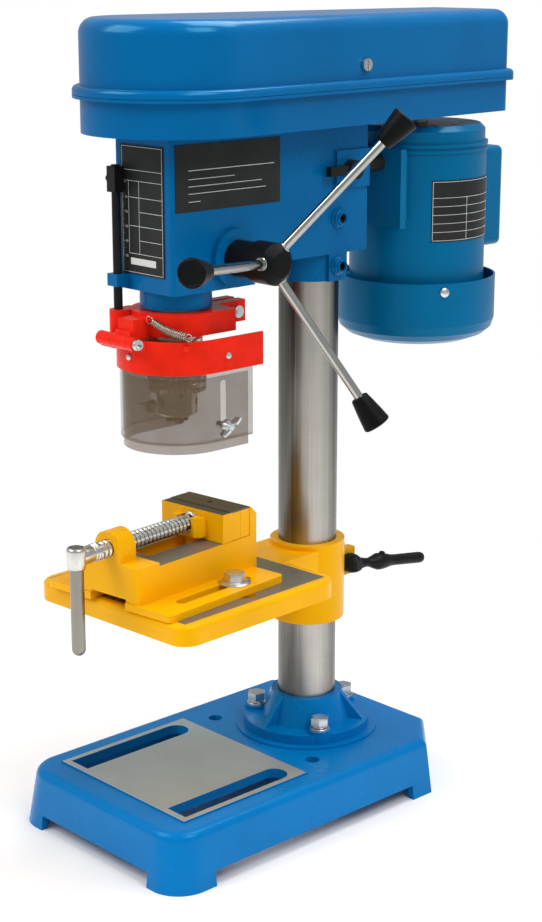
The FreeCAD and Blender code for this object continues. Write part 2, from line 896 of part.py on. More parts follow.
def head_bores():
    """The bores and the open cavity of the head."""
    column_end = f"{FLANGE_SEAT} + column_length + 1 - column_clamp_bottom + 1"
    quill_end = "quill_bottom + quill_length + 6"
    rod_bore = [
        rod(
            "slide_rod_radius + running_gap",
            "head_rear + slide_rod_reach + motor_slide + 2",
            f"{side} * slide_rod_x",
            "-slide_rod_reach - motor_slide - 1",
            "slide_rod_height",
            along="Y",
        )
        for side in (-1, 1)
    ]
    screws = [
        rod("clamp_screw_radius + running_gap", "head_half_width", "column_radius / 2", z=level, along="X")
        for level in ("clamp_screw_high", "clamp_screw_low")
    ]
    return [
        rod(
            "quill_radius + running_gap",
            f"{quill_end} - neck_bottom + 1",
            y="-spindle_reach",
            z="neck_bottom - 1",
        ),
        rod(
            "bearing_radius + running_gap",
            f"head_top - ({quill_end}) + 2",
            y="-spindle_reach",
            z=f"{quill_end} - 1",
        ),
        rod("column_radius + running_gap", column_end, z="column_clamp_bottom - 1"),
        span(
            "-head_cavity_half_width",
            "head_cavity_half_width",
            "-head_cavity_front",
            "-head_cavity_rear",
            "head_cavity_floor",
            "head_top + 1",
        ),
        rod(
            "gear_module * (pinion_teeth + 2) / 2 + running_gap",
            "head_half_width + feed_housing_face + 2",
            "-head_half_width - 1",
            f"-({FEED_Y})",
            "feed_height",
            along="X",
        ),
        rod(
            "depth_rod_radius + free_gap",
            "40",
            "-depth_rod_x",
            "-spindle_reach - depth_rod_forward",
            "neck_bottom",
        ),
        rod(
            "clamp_screw_radius + running_gap",
            "head_half_width",
            "slide_rod_x",
            "tension_screw_y",
            "slide_rod_height",
            along="X",
        ),
        *rod_bore,
        *screws,
    ]


def head_casting():
    """The head casting."""
    settle(cut(join(head_block(), *head_bosses()), *head_bores()), "head_casting", COLUMN)


def head_clamp_screws():
    """Two socket set screws with round nuts that clamp the head to the column."""
    screws = []
    for level in ("clamp_screw_high", "clamp_screw_low"):
        start = "column_radius + running_gap"
        length = f"head_half_width + clamp_screw_stand - ({start})"
        solid = join(
            rod("clamp_screw_radius", length, start, z=level, along="X"),
            rod("clamp_nut_radius", "clamp_nut_height / 4", "head_half_width", z=level, along="X"),
            taper(
                "clamp_nut_radius",
                "clamp_nut_top_radius",
                "clamp_nut_height * 3 / 4",
                "head_half_width + clamp_nut_height / 4",
                z=level,
                along="X",
            ),
        )
        end = "head_half_width + clamp_screw_stand - 3"
        screws.append(cut(solid, hexagon("clamp_screw_radius", "4", end, z=level, along="X")))
    settle(group(*screws), "head_clamp_screws", COLUMN)


def head_plates():
    """The scale plate in front and the plain plate on the side."""
    scale = span(
        "-scale_plate_half_width",
        "scale_plate_half_width",
        "-head_front - scale_plate_thickness",
        "-head_front",
        "scale_plate_bottom",
        "scale_plate_top",
    )
    settle(scale, "scale_plate", COLUMN)
    side = span(
        "head_half_width",
        "head_half_width + side_plate_thickness",
        "-side_plate_front + head_corner_round",
        "-side_plate_rear",
        "side_plate_bottom",
        "side_plate_top",
    )
    settle(side, "side_plate", COLUMN)


# ------------------------------------------------------------------ quill, spindle and chuck
def rack_gap(index):
    """One gap between two teeth of the rack, wider outwards."""
    pitch = "3.14159265 * gear_module"
    thing = document.addObject("Part::Wedge", "Gap")
    narrow = f"({pitch} * 0.32 - gear_module * 0.42)"
    wide = f"({pitch} * 0.32 + gear_module * 0.42)"
    drive(
        thing,
        Xmin="-quill_radius",
        Xmax="quill_radius",
        X2min="-quill_radius",
        X2max="quill_radius",
        Ymin="0",
        Ymax="gear_module * 3",
        Zmin=f"-{narrow}",
        Zmax=narrow,
        Z2min=f"-{wide}",
        Z2max=wide,
    )
    return stand(thing, y="quill_radius - 2.3 * gear_module", z=f"feed_height + {index} * {pitch}")


def quill():
    """The quill with its bearing seats and the rack cut along its back."""
    top = "quill_bottom + quill_length"
    seat = "bearing_height + free_gap"
    body = revolve(
        [
            ("bearing_radius", "quill_bottom"),
            ("quill_radius", "quill_bottom"),
            ("quill_radius", top),
            ("bearing_radius", top),
            ("bearing_radius", f"{top} - ({seat})"),
            ("spindle_radius + 3", f"{top} - ({seat})"),
            ("spindle_radius + 3", f"quill_bottom + {seat}"),
            ("bearing_radius", f"quill_bottom + {seat}"),
        ]
    )
    last = math.ceil(size("quill_travel") / (math.pi * size("gear_module"))) + 3
    gaps = [rack_gap(index) for index in range(-2, last)]
    settle(cut(body, *gaps), "quill", SPINDLE)


def ball_bearing(bottom, bore="spindle_radius + running_gap"):
    """A ball bearing as a ring with a groove in each face."""
    middle = f"(bearing_radius + {bore}) / 2"
    solid = tube("bearing_radius", bore, "bearing_height", z=bottom)
    groove = tube(f"{middle} + 1.5", f"{middle} - 1.5", "1.2", z=f"{bottom} + bearing_height - 1.2")
    return cut(solid, groove)


def bearings():
    """The two quill bearings and the pulley's bearing in the head."""
    upper = "quill_bottom + quill_length - bearing_height"
    settle(group(ball_bearing("quill_bottom"), ball_bearing(upper)), "quill_bearings", SPINDLE)
    seat = "head_top - 2 * bearing_height - 2"
    bore = "pulley_sleeve_radius + running_gap"
    pair = group(ball_bearing(seat, bore), ball_bearing("head_top - bearing_height", bore))
    settle(pair, "pulley_bearings", SPINDLE)


def spindle():
    """The spindle: taper nose, shoulder under the lower bearing and a shaft with two flats."""
    shoulder = "spindle_radius + 3"
    body = revolve(
        [
            ("0", "chuck_top - spindle_nose_length"),
            ("spindle_nose_tip_radius", "chuck_top - spindle_nose_length"),
            ("spindle_nose_radius", "chuck_top"),
            (shoulder, "chuck_top"),
            (shoulder, "quill_bottom - free_gap"),
            ("spindle_radius", "quill_bottom - free_gap"),
            ("spindle_radius", "spindle_top"),
            ("0", "spindle_top"),
        ]
    )
    start = "quill_bottom + quill_length + 2"
    flats = [
        block(
            "4 * spindle_radius",
            "2",
            f"spindle_top - ({start}) + 1",
            y=f"{side} * (spindle_radius)",
            z=start,
        )
        for side in (-1, 1)
    ]
    settle(cut(body, *flats), "spindle", SPINDLE)


def jaw_axis(make):
    """Three solids on the tilted jaw axes, spread round the chuck."""
    tilted = []
    for index in range(3):
        leaned = turned(
            make(),
            "0 - chuck_jaw_tilt",
            (0, 1, 0),
            x="-chuck_grip_radius - 2.4",
            z="chuck_nose_bottom - chuck_jaw_proud",
        )
        tilted.append(turned(leaned, f"{30 + 120 * index}"))
    return tilted


def chuck():
    """The key chuck: body with three tilted jaw bores, toothed sleeve and three jaws."""
    body = revolve(
        [
            ("0", "chuck_nose_bottom"),
            ("chuck_nose_radius - 2", "chuck_nose_bottom"),
            ("chuck_nose_radius", "chuck_nose_bottom + 2"),
            ("chuck_nose_radius", "chuck_sleeve_top"),
            ("chuck_radius", "chuck_sleeve_top"),
            ("chuck_radius", "chuck_top - 2"),
            ("chuck_radius - 2", "chuck_top - running_gap"),
            ("0", "chuck_top - running_gap"),
        ]
    )
    key_hole = lambda: rod(
        "chuck_key_hole_radius",
        "chuck_nose_radius",
        "chuck_nose_radius / 2",
        z="chuck_key_height",
        along="X",
    )
    tools = [
        taper(
            "spindle_nose_tip_radius + running_gap",
            "spindle_nose_radius + running_gap",
            "spindle_nose_length",
            z="chuck_top - spindle_nose_length",
        ),
        rod(
            "chuck_grip_radius + 3.6",
            "chuck_top - spindle_nose_length - chuck_nose_bottom",
            z="chuck_nose_bottom - 1",
        ),
        *jaw_axis(lambda: rod("chuck_jaw_width / 2 + 1.1 + running_gap", "chuck_jaw_length + 14", z="-8")),
        *around(key_hole, 3, "-90"),
    ]
    settle(cut(body, *tools), "chuck_body", SPINDLE)
    notch = lambda: block("6", "1.5", "2.6", "chuck_sleeve_radius", z="chuck_sleeve_bottom - 0.6")
    sleeve = revolve(
        [
            ("chuck_nose_radius + running_gap", "chuck_sleeve_bottom"),
            ("chuck_sleeve_radius - 2.5", "chuck_sleeve_bottom"),
            ("chuck_sleeve_radius", "chuck_sleeve_bottom + 2.5"),
            ("chuck_sleeve_radius", "chuck_sleeve_top - 1.3"),
            ("chuck_sleeve_radius - 1", "chuck_sleeve_top - free_gap"),
            ("chuck_nose_radius + running_gap", "chuck_sleeve_top - free_gap"),
        ]
    )
    settle(cut(sleeve, *around(notch, 24)), "chuck_sleeve", SPINDLE)
    jaws = []
    for jaw in jaw_axis(lambda: rod("chuck_jaw_width / 2 + 1.1", "chuck_jaw_length")):
        drill = rod("chuck_grip_radius", "60", z="chuck_nose_bottom - 20")
        end = rod("30", "20", z="chuck_nose_bottom - chuck_jaw_proud - 19.2")
        jaws.append(cut(jaw, drill, end))
    settle(group(*jaws), "chuck_jaws", SPINDLE)


# ------------------------------------------------------------------ feed handle
def pinion_tooth():
    """One tooth of the pinion, narrower outwards."""
    pitch = "3.14159265 * gear_module"
    thing = document.addObject("Part::Wedge", "Tooth")
    wide = f"({pitch} * 0.21 + gear_module * 0.5)"
    narrow = f"({pitch} * 0.21 - gear_module * 0.4)"
    drive(
        thing,
        Xmin=f"-{wide}",
        Xmax=wide,
        X2min=f"-{narrow}",
        X2max=narrow,
        Ymin="gear_module * (pinion_teeth / 2 - 1.6)",
        Ymax="gear_module * (pinion_teeth / 2 + 1)",
        Zmin="-pinion_length / 2",
        Zmax="pinion_length / 2",
        Z2min="-pinion_length / 2",
        Z2max="pinion_length / 2",
    )
    return thing


def pinion_shaft():
    """The pinion: teeth in the middle, journals on both sides, a stub in the hub."""
    tip = "gear_module * (pinion_teeth / 2 + 1)"
    root = "gear_module * (pinion_teeth / 2 - 1.25)"
    left = "-head_half_width"
    stub = "feed_housing_face + free_gap + feed_shaft_into_hub"
    teeth = turned(group(*around(pinion_tooth, int(size("pinion_teeth")), "180")), "90", (0, 1, 0))
    solid = join(
        teeth,
        rod(root, "pinion_length + 1", "-pinion_length / 2 - 0.5", along="X"),
        rod(tip, f"-pinion_length / 2 - ({left})", left, along="X"),
        rod(tip, "feed_housing_face - pinion_length / 2", "pinion_length / 2", along="X"),
        rod("feed_hub_radius / 2", f"{stub} - feed_housing_face + 1", "feed_housing_face - 1", along="X"),
        rod("3", "spring_case_depth - 2", f"{left} - spring_case_depth + 3", along="X"),
    )
    settle(solid, "pinion_shaft", FEED)


def lever_directions(make):
    """Three solids along the levers, which lean away from the head."""
    made = []
    for index in range(3):
        leaned = turned(make(), "feed_lever_cone", (0, 1, 0))
        spun = turned(leaned, f"90 - feed_lever_turn + {120 * index}", (-1, 0, 0))
        made.append(spun)
    return made


def feed_handle():
    """Hub, three levers and three tapered grips."""
    root = "feed_housing_face + free_gap"
    hub = cut(
        join(
            rod("feed_hub_radius", f"feed_hub_end - ({root})", root, along="X"),
            rod("feed_boss_radius", "feed_boss_end - feed_hub_end", "feed_hub_end", along="X"),
            taper(
                "feed_boss_radius",
                "feed_boss_cap_radius",
                "feed_boss_cap_end - feed_boss_end",
                "feed_boss_end",
                along="X",
            ),
        ),
        rod("feed_hub_radius / 2 + running_gap", "feed_shaft_into_hub + free_gap", root, along="X"),
        *[
            stand(thing, "feed_lever_x")
            for thing in lever_directions(lambda: rod("feed_lever_radius", "60", z="8"))
        ],
    )
    settle(hub, "feed_hub", FEED)
    levers = lever_directions(lambda: rod("feed_lever_radius", "feed_lever_length - 8", z="8"))
    settle(group(*[stand(thing, "feed_lever_x") for thing in levers]), "feed_levers", FEED)
    grip = lambda: cut(
        join(
            taper(
                "feed_grip_root_radius",
                "feed_grip_end_radius",
                "feed_grip_length - 3",
                z="feed_grip_start",
            ),
            taper(
                "feed_grip_end_radius",
                "feed_grip_end_radius - 2",
                "3",
                z="feed_grip_start + feed_grip_length - 3",
            ),
        ),
        rod(
            "feed_lever_radius + running_gap",
            "feed_lever_length - feed_grip_start + 1",
            z="feed_grip_start - 1",
        ),
    )
    grips = lever_directions(grip)
    settle(group(*[stand(thing, "feed_lever_x") for thing in grips]), "feed_grips", FEED)


def return_spring():
    """The clock spring that lifts the quill, and its case on the left of the head."""
    left = "-head_half_width"
    case = cut(
        rod("spring_case_radius", "spring_case_depth", f"{left} - spring_case_depth", along="X"),
        rod(
            "spring_case_radius - spring_case_wall",
            "spring_case_depth - spring_case_wall + 1",
            f"{left} - spring_case_depth + spring_case_wall",
            along="X",
        ),
    )
    settle(case, "return_spring_case", FEED)
    band = size("spring_band")
    inner = 4.0
    growth = (size("spring_case_radius") - size("spring_case_wall") - 1.0 - inner) / size("spring_turns")
    steps = 16 * int(size("spring_turns"))
    outer_line, inner_line = [], []
    for step in range(steps + 1):
        turn = 2 * math.pi * step / 16
        radius = inner + growth * step / 16
        outward = Vector(0, math.cos(turn), math.sin(turn))
        outer_line.append(outward * (radius + band / 2))
        inner_line.append(outward * (radius - band / 2))
    edges = []
    for line in (outer_line, inner_line):
        curve = Part.BSplineCurve()
        curve.interpolate(line)
        edges.append(curve.toShape())
    ends = [Part.makeLine(outer_line[end], inner_line[end]) for end in (0, -1)]
    face = Part.Face(Part.Wire([edges[0], ends[1], edges[1], ends[0]]))
    width = size("spring_case_depth") - size("spring_case_wall") - 3
    thing = document.addObject("Part::Feature", "Spring")
    thing.Shape = face.extrude(Vector(width, 0, 0))
    stand(thing, "-head_half_width - spring_case_depth + spring_case_wall + 1.5")
    settle(thing, "return_spring", FEED)


def depth_stop():
    """The depth rod, which rides on the guard collar, and the pointer that stops on the lug."""
    x, y = "-depth_rod_x", "-depth_rod_forward"
    foot = "guard_collar_bottom + 2"
    settle(rod("depth_rod_radius", f"depth_rod_top - ({foot})", x, y, foot), "depth_rod", SPINDLE)
    pointer = cut(
        join(
            span(
                f"{x} - pointer_half_width",
                f"{x} + pointer_half_width",
                f"{y} - pointer_half_width",
                f"{y} + pointer_half_width - 1",
                "pointer_bottom",
                "pointer_bottom + pointer_height",
            ),
            rod(
                "2.5",
                "6",
                f"{x} - pointer_half_width - 4",
                y,
                "pointer_bottom + pointer_height / 2",
                along="X",
            ),
        ),
        rod("depth_rod_radius + running_gap", "pointer_height + 2", x, y, "pointer_bottom - 1"),
    )
    settle(pointer, "depth_pointer", SPINDLE)


# ------------------------------------------------------------------ chuck guard
def guard_shell(outer, wall, tail, low, high):
    """A wall round the chuck: half a ring in front, straight sides towards the column."""
    rise = f"({high}) - ({low})"
    solid = join(rod(outer, rise, z=low), span(f"-({outer})", outer, "0", tail, low, high))
    kept = common(solid, span(f"-({outer})", outer, f"-({outer})", tail, low, high))
    return cut(kept, guard_room(f"{outer} - {wall}", low, high))


def guard_room(radius, low, high):
    """The space inside such a wall, open towards the column."""
    rise = f"({high}) - ({low}) + 2"
    return join(
        rod(radius, rise, z=f"{low} - 1"),
        span(f"-({radius})", radius, "0", "guard_tail + 20", f"{low} - 1", f"{high} + 1"),
    )


def guard_collar():
    """The clamp ring on the quill with the hinge ear, the depth rod's lug and the clamp ears."""
    low, high = "guard_collar_bottom", "guard_collar_bottom + guard_collar_height"
    hinge = "-guard_hinge_forward"
    ear_low, ear_high = "-guard_ear_width - 2", "guard_ear_width + 2.7"
    solid = join(
        rod("guard_collar_radius", "guard_collar_height", z=low),
        span("-guard_collar_radius", "guard_collar_radius", "0", "guard_collar_tail", low, high),
        rod("guard_ear_radius", "guard_collar_height", "-depth_rod_x", "-depth_rod_forward", low),
        span(
            "-depth_rod_x - guard_ear_radius",
            "-depth_rod_x + guard_ear_radius",
            "-depth_rod_forward",
            "-20",
            low,
            high,
        ),
        rod(
            "guard_ear_radius - 1.5",
            f"{ear_high} - ({ear_low})",
            ear_low,
            hinge,
            "guard_hinge_height",
            along="X",
        ),
        span(ear_low, ear_high, hinge, "-29", "guard_hinge_height + 1.6", "guard_hinge_height + 8"),
        span(ear_low, ear_high, f"{hinge} + 3", "-29", "guard_hinge_height + 2", "guard_web_top"),
        rod(
            "guard_spring_hook",
            "9",
            "guard_spring_x",
            "-guard_spring_forward - 2",
            "guard_spring_z",
            along="Y",
        ),
        span("-10", "10", "25", "guard_clamp_reach", low, high),
    )
    tools = [
        rod("quill_radius + running_gap", "guard_collar_height + 2", z=f"{low} - 1"),
        span(
            "-guard_clamp_gap / 2",
            "guard_clamp_gap / 2",
            "0",
            "guard_clamp_reach + 1",
            f"{low} - 1",
            f"{high} + 1",
        ),
        rod("depth_rod_radius + running_gap", "30", "-depth_rod_x", "-depth_rod_forward", f"{low} + 2"),
        rod("guard_hinge_radius + running_gap", "60", "-30", hinge, "guard_hinge_height", along="X"),
        rod("guard_screw_radius + running_gap", "30", "-15", "guard_clamp_y", f"{low} + 8", along="X"),
    ]
    settle(cut(solid, *tools), "guard_collar", SPINDLE)
    clamp = join(
        rod("guard_screw_radius", "28", "-14", "guard_clamp_y", f"{low} + 8", along="X"),
        rod("guard_screw_radius * 1.8", "3.5", "10", "guard_clamp_y", f"{low} + 8", along="X"),
        hexagon("guard_screw_radius * 3.2", "4", "-14", "guard_clamp_y", f"{low} + 8", along="X"),
    )
    settle(clamp, "guard_clamp_screw", SPINDLE)


def guard_visor():
    """The ring that swings up on its hinge bolt, with the clear screen fixed in it."""
    hinge, height = "-guard_hinge_forward", "guard_hinge_height"
    low, high = "guard_ring_bottom", "guard_ring_bottom + guard_ring_height"
    ear = "guard_ear_radius - 1.5"
    left, right = "-guard_ear_width - 2.3", "guard_ear_width + 3"
    barrel = f"{left} + guard_hinge_left"
    solid = join(
        guard_shell("guard_ring_radius", "guard_ring_wall", "guard_tail", low, high),
        rod(ear, barrel, "-guard_hinge_left", hinge, height, along="X"),
        span("-guard_hinge_left", left, hinge, "-30", f"{high} - 7", high),
        rod(ear, f"guard_hinge_right - ({right})", right, hinge, height, along="X"),
        span(right, "guard_hinge_right", hinge, "-38", f"{high} - 7", high),
        span("36.5", "40", "-25", "-22", f"{high} - 6", f"{high} - 2.6"),
    )
    inner = "guard_ring_radius - guard_ring_wall"
    tools = [
        guard_room(inner, low, high),
        rod("guard_hinge_radius + running_gap", "60", "-guard_hinge_left + 4", hinge, height, along="X"),
        *small_screws(screw_hole),
    ]
    settle(cut(solid, *tools), "guard_ring", SPINDLE)
    bolt = join(
        rod(
            "guard_hinge_radius",
            "guard_hinge_left + guard_hinge_right",
            "-guard_hinge_left + 4",
            hinge,
            height,
            along="X",
        ),
        hexagon("guard_hinge_radius * 2.7", "4", "guard_hinge_right", hinge, height, along="X"),
    )
    settle(bolt, "guard_hinge_bolt", SPINDLE)
    screen = guard_shell(
        inner,
        "guard_screen_wall",
        "guard_screen_tail",
        "guard_screen_bottom",
        f"{high} - 1",
    )
    wing = [
        rod(
            "guard_screw_radius + running_gap",
            "20",
            f"{side} * ({inner}) - 10",
            "guard_slot_y",
            "guard_screw_height",
            along="X",
        )
        for side in (-1, 1)
    ]
    settle(cut(screen, *wing, *small_screws(screw_hole)), "guard_screen", SPINDLE)
    outer = f"{inner} - guard_screen_wall - free_gap"
    thumbs = [thumb_screw(outer), turned(thumb_screw(outer, "-guard_slot_y"), "180")]
    settle(group(*small_screws(small_screw), *thumbs), "guard_screws", SPINDLE)


def small_screws(make):
    """Solids at the three small screws that hold the screen in the ring."""
    right = stand(group(make()), y="guard_slot_y + 1")
    left = turned(make(), "180", y="guard_slot_y + 1")
    return [turned(make(), "-91"), right, left]


def small_screw():
    """A small pan-head screw along X through the ring and the screen."""
    z = "guard_ring_bottom + 11"
    start = "guard_ring_radius - guard_ring_wall - guard_screen_wall"
    return join(
        rod("1.2", "guard_ring_wall + guard_screen_wall + 1", start, z=z, along="X"),
        rod("2.4", "1.6", "guard_ring_radius - 0.05", z=z, along="X"),
    )


def screw_hole():
    """The hole and the flat under a small screw."""
    z = "guard_ring_bottom + 11"
    hole = join(
        rod("1.2 + running_gap", "10", "guard_ring_radius - 6", z=z, along="X"),
        rod("2.4 + running_gap", "10", "guard_ring_radius - 0.05", z=z, along="X"),
    )
    return hole


def guard_slider():
    """The lower screen, which slides down on two thumb screws in its slots."""
    outer = "guard_ring_radius - guard_ring_wall - guard_screen_wall - free_gap"
    shell = guard_shell(
        outer,
        "guard_slider_wall",
        "guard_slider_tail",
        "guard_slider_bottom",
        "guard_slider_top",
    )
    slots = []
    for side in (-1, 1):
        x = f"{side} * ({outer}) - 10"
        low, high = "guard_slot_bottom + guard_slot_half_width", "guard_slot_top - guard_slot_half_width"
        slots.append(rod("guard_slot_half_width", "20", x, "guard_slot_y", low, along="X"))
        slots.append(rod("guard_slot_half_width", "20", x, "guard_slot_y", high, along="X"))
        slots.append(
            span(
                x,
                f"{x} + 20",
                "guard_slot_y - guard_slot_half_width",
                "guard_slot_y + guard_slot_half_width",
                low,
                high,
            )
        )
    settle(cut(shell, *slots), "guard_slider", SPINDLE)


def thumb_screw(outer, y="guard_slot_y"):
    """A thumb screw through the fixed screen and a slot of the slider."""
    inside = f"{outer} - guard_slider_wall - 3"
    z = "guard_screw_height"
    face = "guard_ring_radius - guard_ring_wall"
    return join(
        rod("guard_screw_radius", f"{face} + 4 - ({inside})", inside, y, z, along="X"),
        rod(
            "guard_screw_radius * 1.8",
            f"{outer} - guard_slider_wall - free_gap - ({inside})",
            inside,
            y,
            z,
            along="X",
        ),
        rod("guard_screw_radius * 1.6", "4", face, y, z, along="X"),
        block("2", "15", "7", f"{face} + 6.5", y, f"{z} - 3.5"),
        rod("guard_screw_radius", "4", f"{face} + 3", y, z, along="X"),
    )


def guard_spring():
    """The coil spring that holds the guard down."""
    length, radius, wire = (size(f"guard_spring_{part}") for part in ("length", "radius", "wire"))
    coil = Part.makeHelix(wire * 2.6, length, radius)
    profile = Part.Wire(Part.makeCircle(wire, Vector(radius, 0, 0), Vector(0, 1, 0)))
    thing = document.addObject("Part::Feature", "Coil")
    thing.Shape = Part.Wire(coil).makePipeShell([profile], True, True)
    hooks = [
        ring("guard_spring_radius", "guard_spring_wire", along="Y"),
        ring(
            "guard_spring_radius",
            "guard_spring_wire",
            z="guard_spring_length + 2 * guard_spring_radius",
            along="Y",
        ),
    ]
    stand(thing, z="guard_spring_radius")
    lying = turned(group(thing, *hooks), "90 + guard_spring_slope", (0, 1, 0))
    turned_out = turned(
        lying, "guard_spring_turn", x="guard_spring_x", y="-guard_spring_forward", z="guard_spring_z"
    )
    settle(turned_out, "guard_spring", SPINDLE)


# ------------------------------------------------------------------ pulleys, belt and cover
def step_pulley(first, change, bore, sleeve, frame, label):
    """A four-step V pulley turned from one profile, its steps counted from below."""
    profile = [(bore, "pulley_bottom"), (f"{first}", "pulley_bottom")]
    for index in range(4):
        radius = f"({first} + {index} * ({change}))"
        low = f"pulley_bottom + {index} * pulley_step"
        if index:
            profile.append((radius, low))
        profile += [
            (radius, f"{low} + 1.3"),
            (f"{radius} - groove_depth", f"{low} + pulley_step / 2 - 2.5"),
            (f"{radius} - groove_depth", f"{low} + pulley_step / 2 + 2.5"),
            (radius, f"{low} + pulley_step - 1.3"),
            (radius, f"{low} + pulley_step"),
        ]
    profile.append((bore, "pulley_bottom + 4 * pulley_step"))
    body = revolve(profile)
    if sleeve is None:
        return settle(body, label, frame)
    low = "head_top - 2 * bearing_height - 2"
    neck = tube(sleeve, bore, f"pulley_bottom - ({low}) + 1", z=low)
    return settle(join(body, neck), label, frame)


def belt():
    """The V belt in the third groove from below, as one swept loop."""
    index = 2
    reach = size("spindle_reach") + size("motor_reach")
    depth, gap = size("groove_depth"), size("free_gap")
    first = size("spindle_pulley_large") - index * size("spindle_pulley_change") - depth + gap
    second = size("motor_pulley_small") + index * size("motor_pulley_change") - depth + gap
    height = size("pulley_bottom") + (index + 0.5) * size("pulley_step")
    lean = math.asin((first - second) / reach)
    side = Vector(math.cos(lean), math.sin(lean), 0)
    mirror = Vector(-side.x, side.y, 0)
    near, far = Vector(0, 0, height), Vector(0, reach, height)
    points = [near + side * first, far + side * second, far + mirror * second, near + mirror * first]
    path = Part.Wire(
        [
            Part.makeLine(points[0], points[1]),
            Part.Arc(points[1], far + Vector(0, second, 0), points[2]).toShape(),
            Part.makeLine(points[2], points[3]),
            Part.Arc(points[3], near - Vector(0, first, 0), points[0]).toShape(),
        ]
    )
    thick = size("belt_thickness")
    inner, outer = 2.0, size("belt_width") / 2 + 1.0
    start = points[0]
    section = [
        start + Vector(0, 0, -inner),
        start + side * thick + Vector(0, 0, -outer),
        start + side * thick + Vector(0, 0, outer),
        start + Vector(0, 0, inner),
    ]
    loop = Part.Wire(Part.makePolygon(section + section[:1]))
    thing = document.addObject("Part::Feature", "Loop")
    thing.Shape = path.makePipeShell([loop], True, True)
    settle(thing, "drive_belt", SPINDLE)


def teardrop(grow, low, high, top_round=None):
    """The cover's outline raised between two heights: round in front, tapered to the rear."""
    body = new_body()
    rise = f"({high}) - ({low})"
    radius = f"(cover_front_radius + {grow})"
    stretch = "sqrt(1 + cover_taper ^ 2)"
    rear = f"cover_rear + spindle_reach + {grow}"
    rear_half = f"{radius} * {stretch} - cover_taper * ({rear})"
    pad(body, circle(flat_sketch(body, "XY_Plane", low), radius), rise)
    side_x, side_y = f"{radius} / {stretch}", f"{radius} * cover_taper / {stretch}"
    corners = [(f"-{side_x}", side_y), (side_x, side_y), (rear_half, rear), (f"-({rear_half})", rear)]
    pad(body, polygon(flat_sketch(body, "XY_Plane", low), corners), rise)
    limit = size("cover_rear") + size("spindle_reach") - 9
    round_edges(
        body,
        f"cover_rear_round + {grow}",
        lambda edge: upright(edge) and edge.CenterOfMass.y > limit,
    )
    if top_round is not None:
        document.recompute()
        top = body.Tip.Shape.BoundBox.ZMax
        round_edges(body, top_round, lambda edge: level_at(edge, top))
    return body


def cover_pan():
    """The fixed half of the belt cover, on the head's top face."""
    lift = "head_top"
    solid = join(
        teardrop("0", lift, "cover_seam"),
        teardrop("cover_bead", "cover_seam - cover_pan_bead", "cover_seam"),
        *hinge_knuckles((-1, 1)),
    )
    open_y = "spindle_reach + motor_reach"
    tools = [
        teardrop("-cover_wall", f"{lift} + cover_wall", "cover_seam + 1"),
        rod("pulley_sleeve_radius + 3", "20", z=f"{lift} - 5"),
        rod("motor_shaft_radius + 5", "20", y=open_y, z=f"{lift} - 5"),
        rod("motor_shaft_radius + 5", "20", y=f"{open_y} - motor_slide", z=f"{lift} - 5"),
        span(
            "-motor_shaft_radius - 5",
            "motor_shaft_radius + 5",
            f"{open_y} - motor_slide",
            open_y,
            f"{lift} - 5",
            f"{lift} + 15",
        ),
    ]
    settle(join(cut(solid, *tools), cover_hinge_pins()), "cover_pan", SPINDLE)


def hinge_place(thing):
    """Move a solid from the frame of the left wall, outward along -X, to the machine."""
    stretch = "sqrt(1 + cover_taper ^ 2)"
    return turned(
        thing,
        "-atan(cover_taper)",
        x=f"-cover_front_radius / {stretch}",
        y=f"cover_front_radius * cover_taper / {stretch}",
    )


def hinge_knuckles(places):
    """Knuckles of the cover's two hinges, with the strap that joins them to the wall."""
    made = []
    offset = "-cover_hinge_offset"
    for start in ("50", "210"):
        for place in places:
            y = f"{start} + {place} * (cover_hinge_length + free_gap)"
            knuckle = join(
                rod("cover_hinge_radius", "cover_hinge_length", offset, y, "cover_seam", along="Y"),
                span(
                    offset,
                    "0",
                    y,
                    f"{y} + cover_hinge_length",
                    "cover_seam + free_gap" if place == 0 else "cover_seam - cover_hinge_radius",
                    "cover_seam + cover_hinge_radius" if place == 0 else "cover_seam",
                ),
            )
            made.append(hinge_place(knuckle))
    return made


def hinge_bore():
    """The bores of both hinges."""
    rods = [
        rod(
            "cover_hinge_radius / 2 + running_gap",
            "60",
            "-cover_hinge_offset",
            f"{start} - 22",
            "cover_seam",
            along="Y",
        )
        for start in ("50", "210")
    ]
    return hinge_place(group(*rods))


def cover_hinge_pins():
    """The pins of the cover's two hinges."""
    pins = [
        rod(
            "cover_hinge_radius / 2",
            "3 * cover_hinge_length + 2 * free_gap",
            "-cover_hinge_offset",
            f"{start} - cover_hinge_length - free_gap",
            "cover_seam",
            along="Y",
        )
        for start in ("50", "210")
    ]
    return hinge_place(group(*pins))


def cover_lid():
    """The lid, which swings up on the left."""
    low = "cover_seam + free_gap"
    solid = join(
        teardrop("0", low, "cover_top", "cover_top_round"),
        teardrop("cover_bead", low, "cover_seam + cover_bead_height", "cover_bead / 1.5"),
        *hinge_knuckles((0,)),
    )
    inside = teardrop("-cover_wall", f"{low} - 1", "cover_top - cover_wall", "cover_top_round - cover_wall")
    settle(cut(solid, inside, hinge_bore(), cover_screw_hole()), "cover_lid", SPINDLE)


def cover_screw_hole():
    """The hole of the screw that keeps the lid shut."""
    return rod(
        "2.5 + running_gap",
        "20",
        "cover_screw_x - 6",
        "cover_screw_y + spindle_reach",
        "cover_screw_z",
        along="X",
    )


def cover_screw():
    """The slotted screw in the side of the lid."""
    y = "cover_screw_y + spindle_reach"
    solid = join(
        rod("2.5", "8", "cover_screw_x - 4", y, "cover_screw_z", along="X"),
        rod("4.5", "2.6", "cover_screw_x + 1.8", y, "cover_screw_z", along="X"),
    )
    slot = block("3", "1", "12", "cover_screw_x + 5", y, "cover_screw_z - 6")
    settle(cut(solid, slot), "cover_screw", SPINDLE)


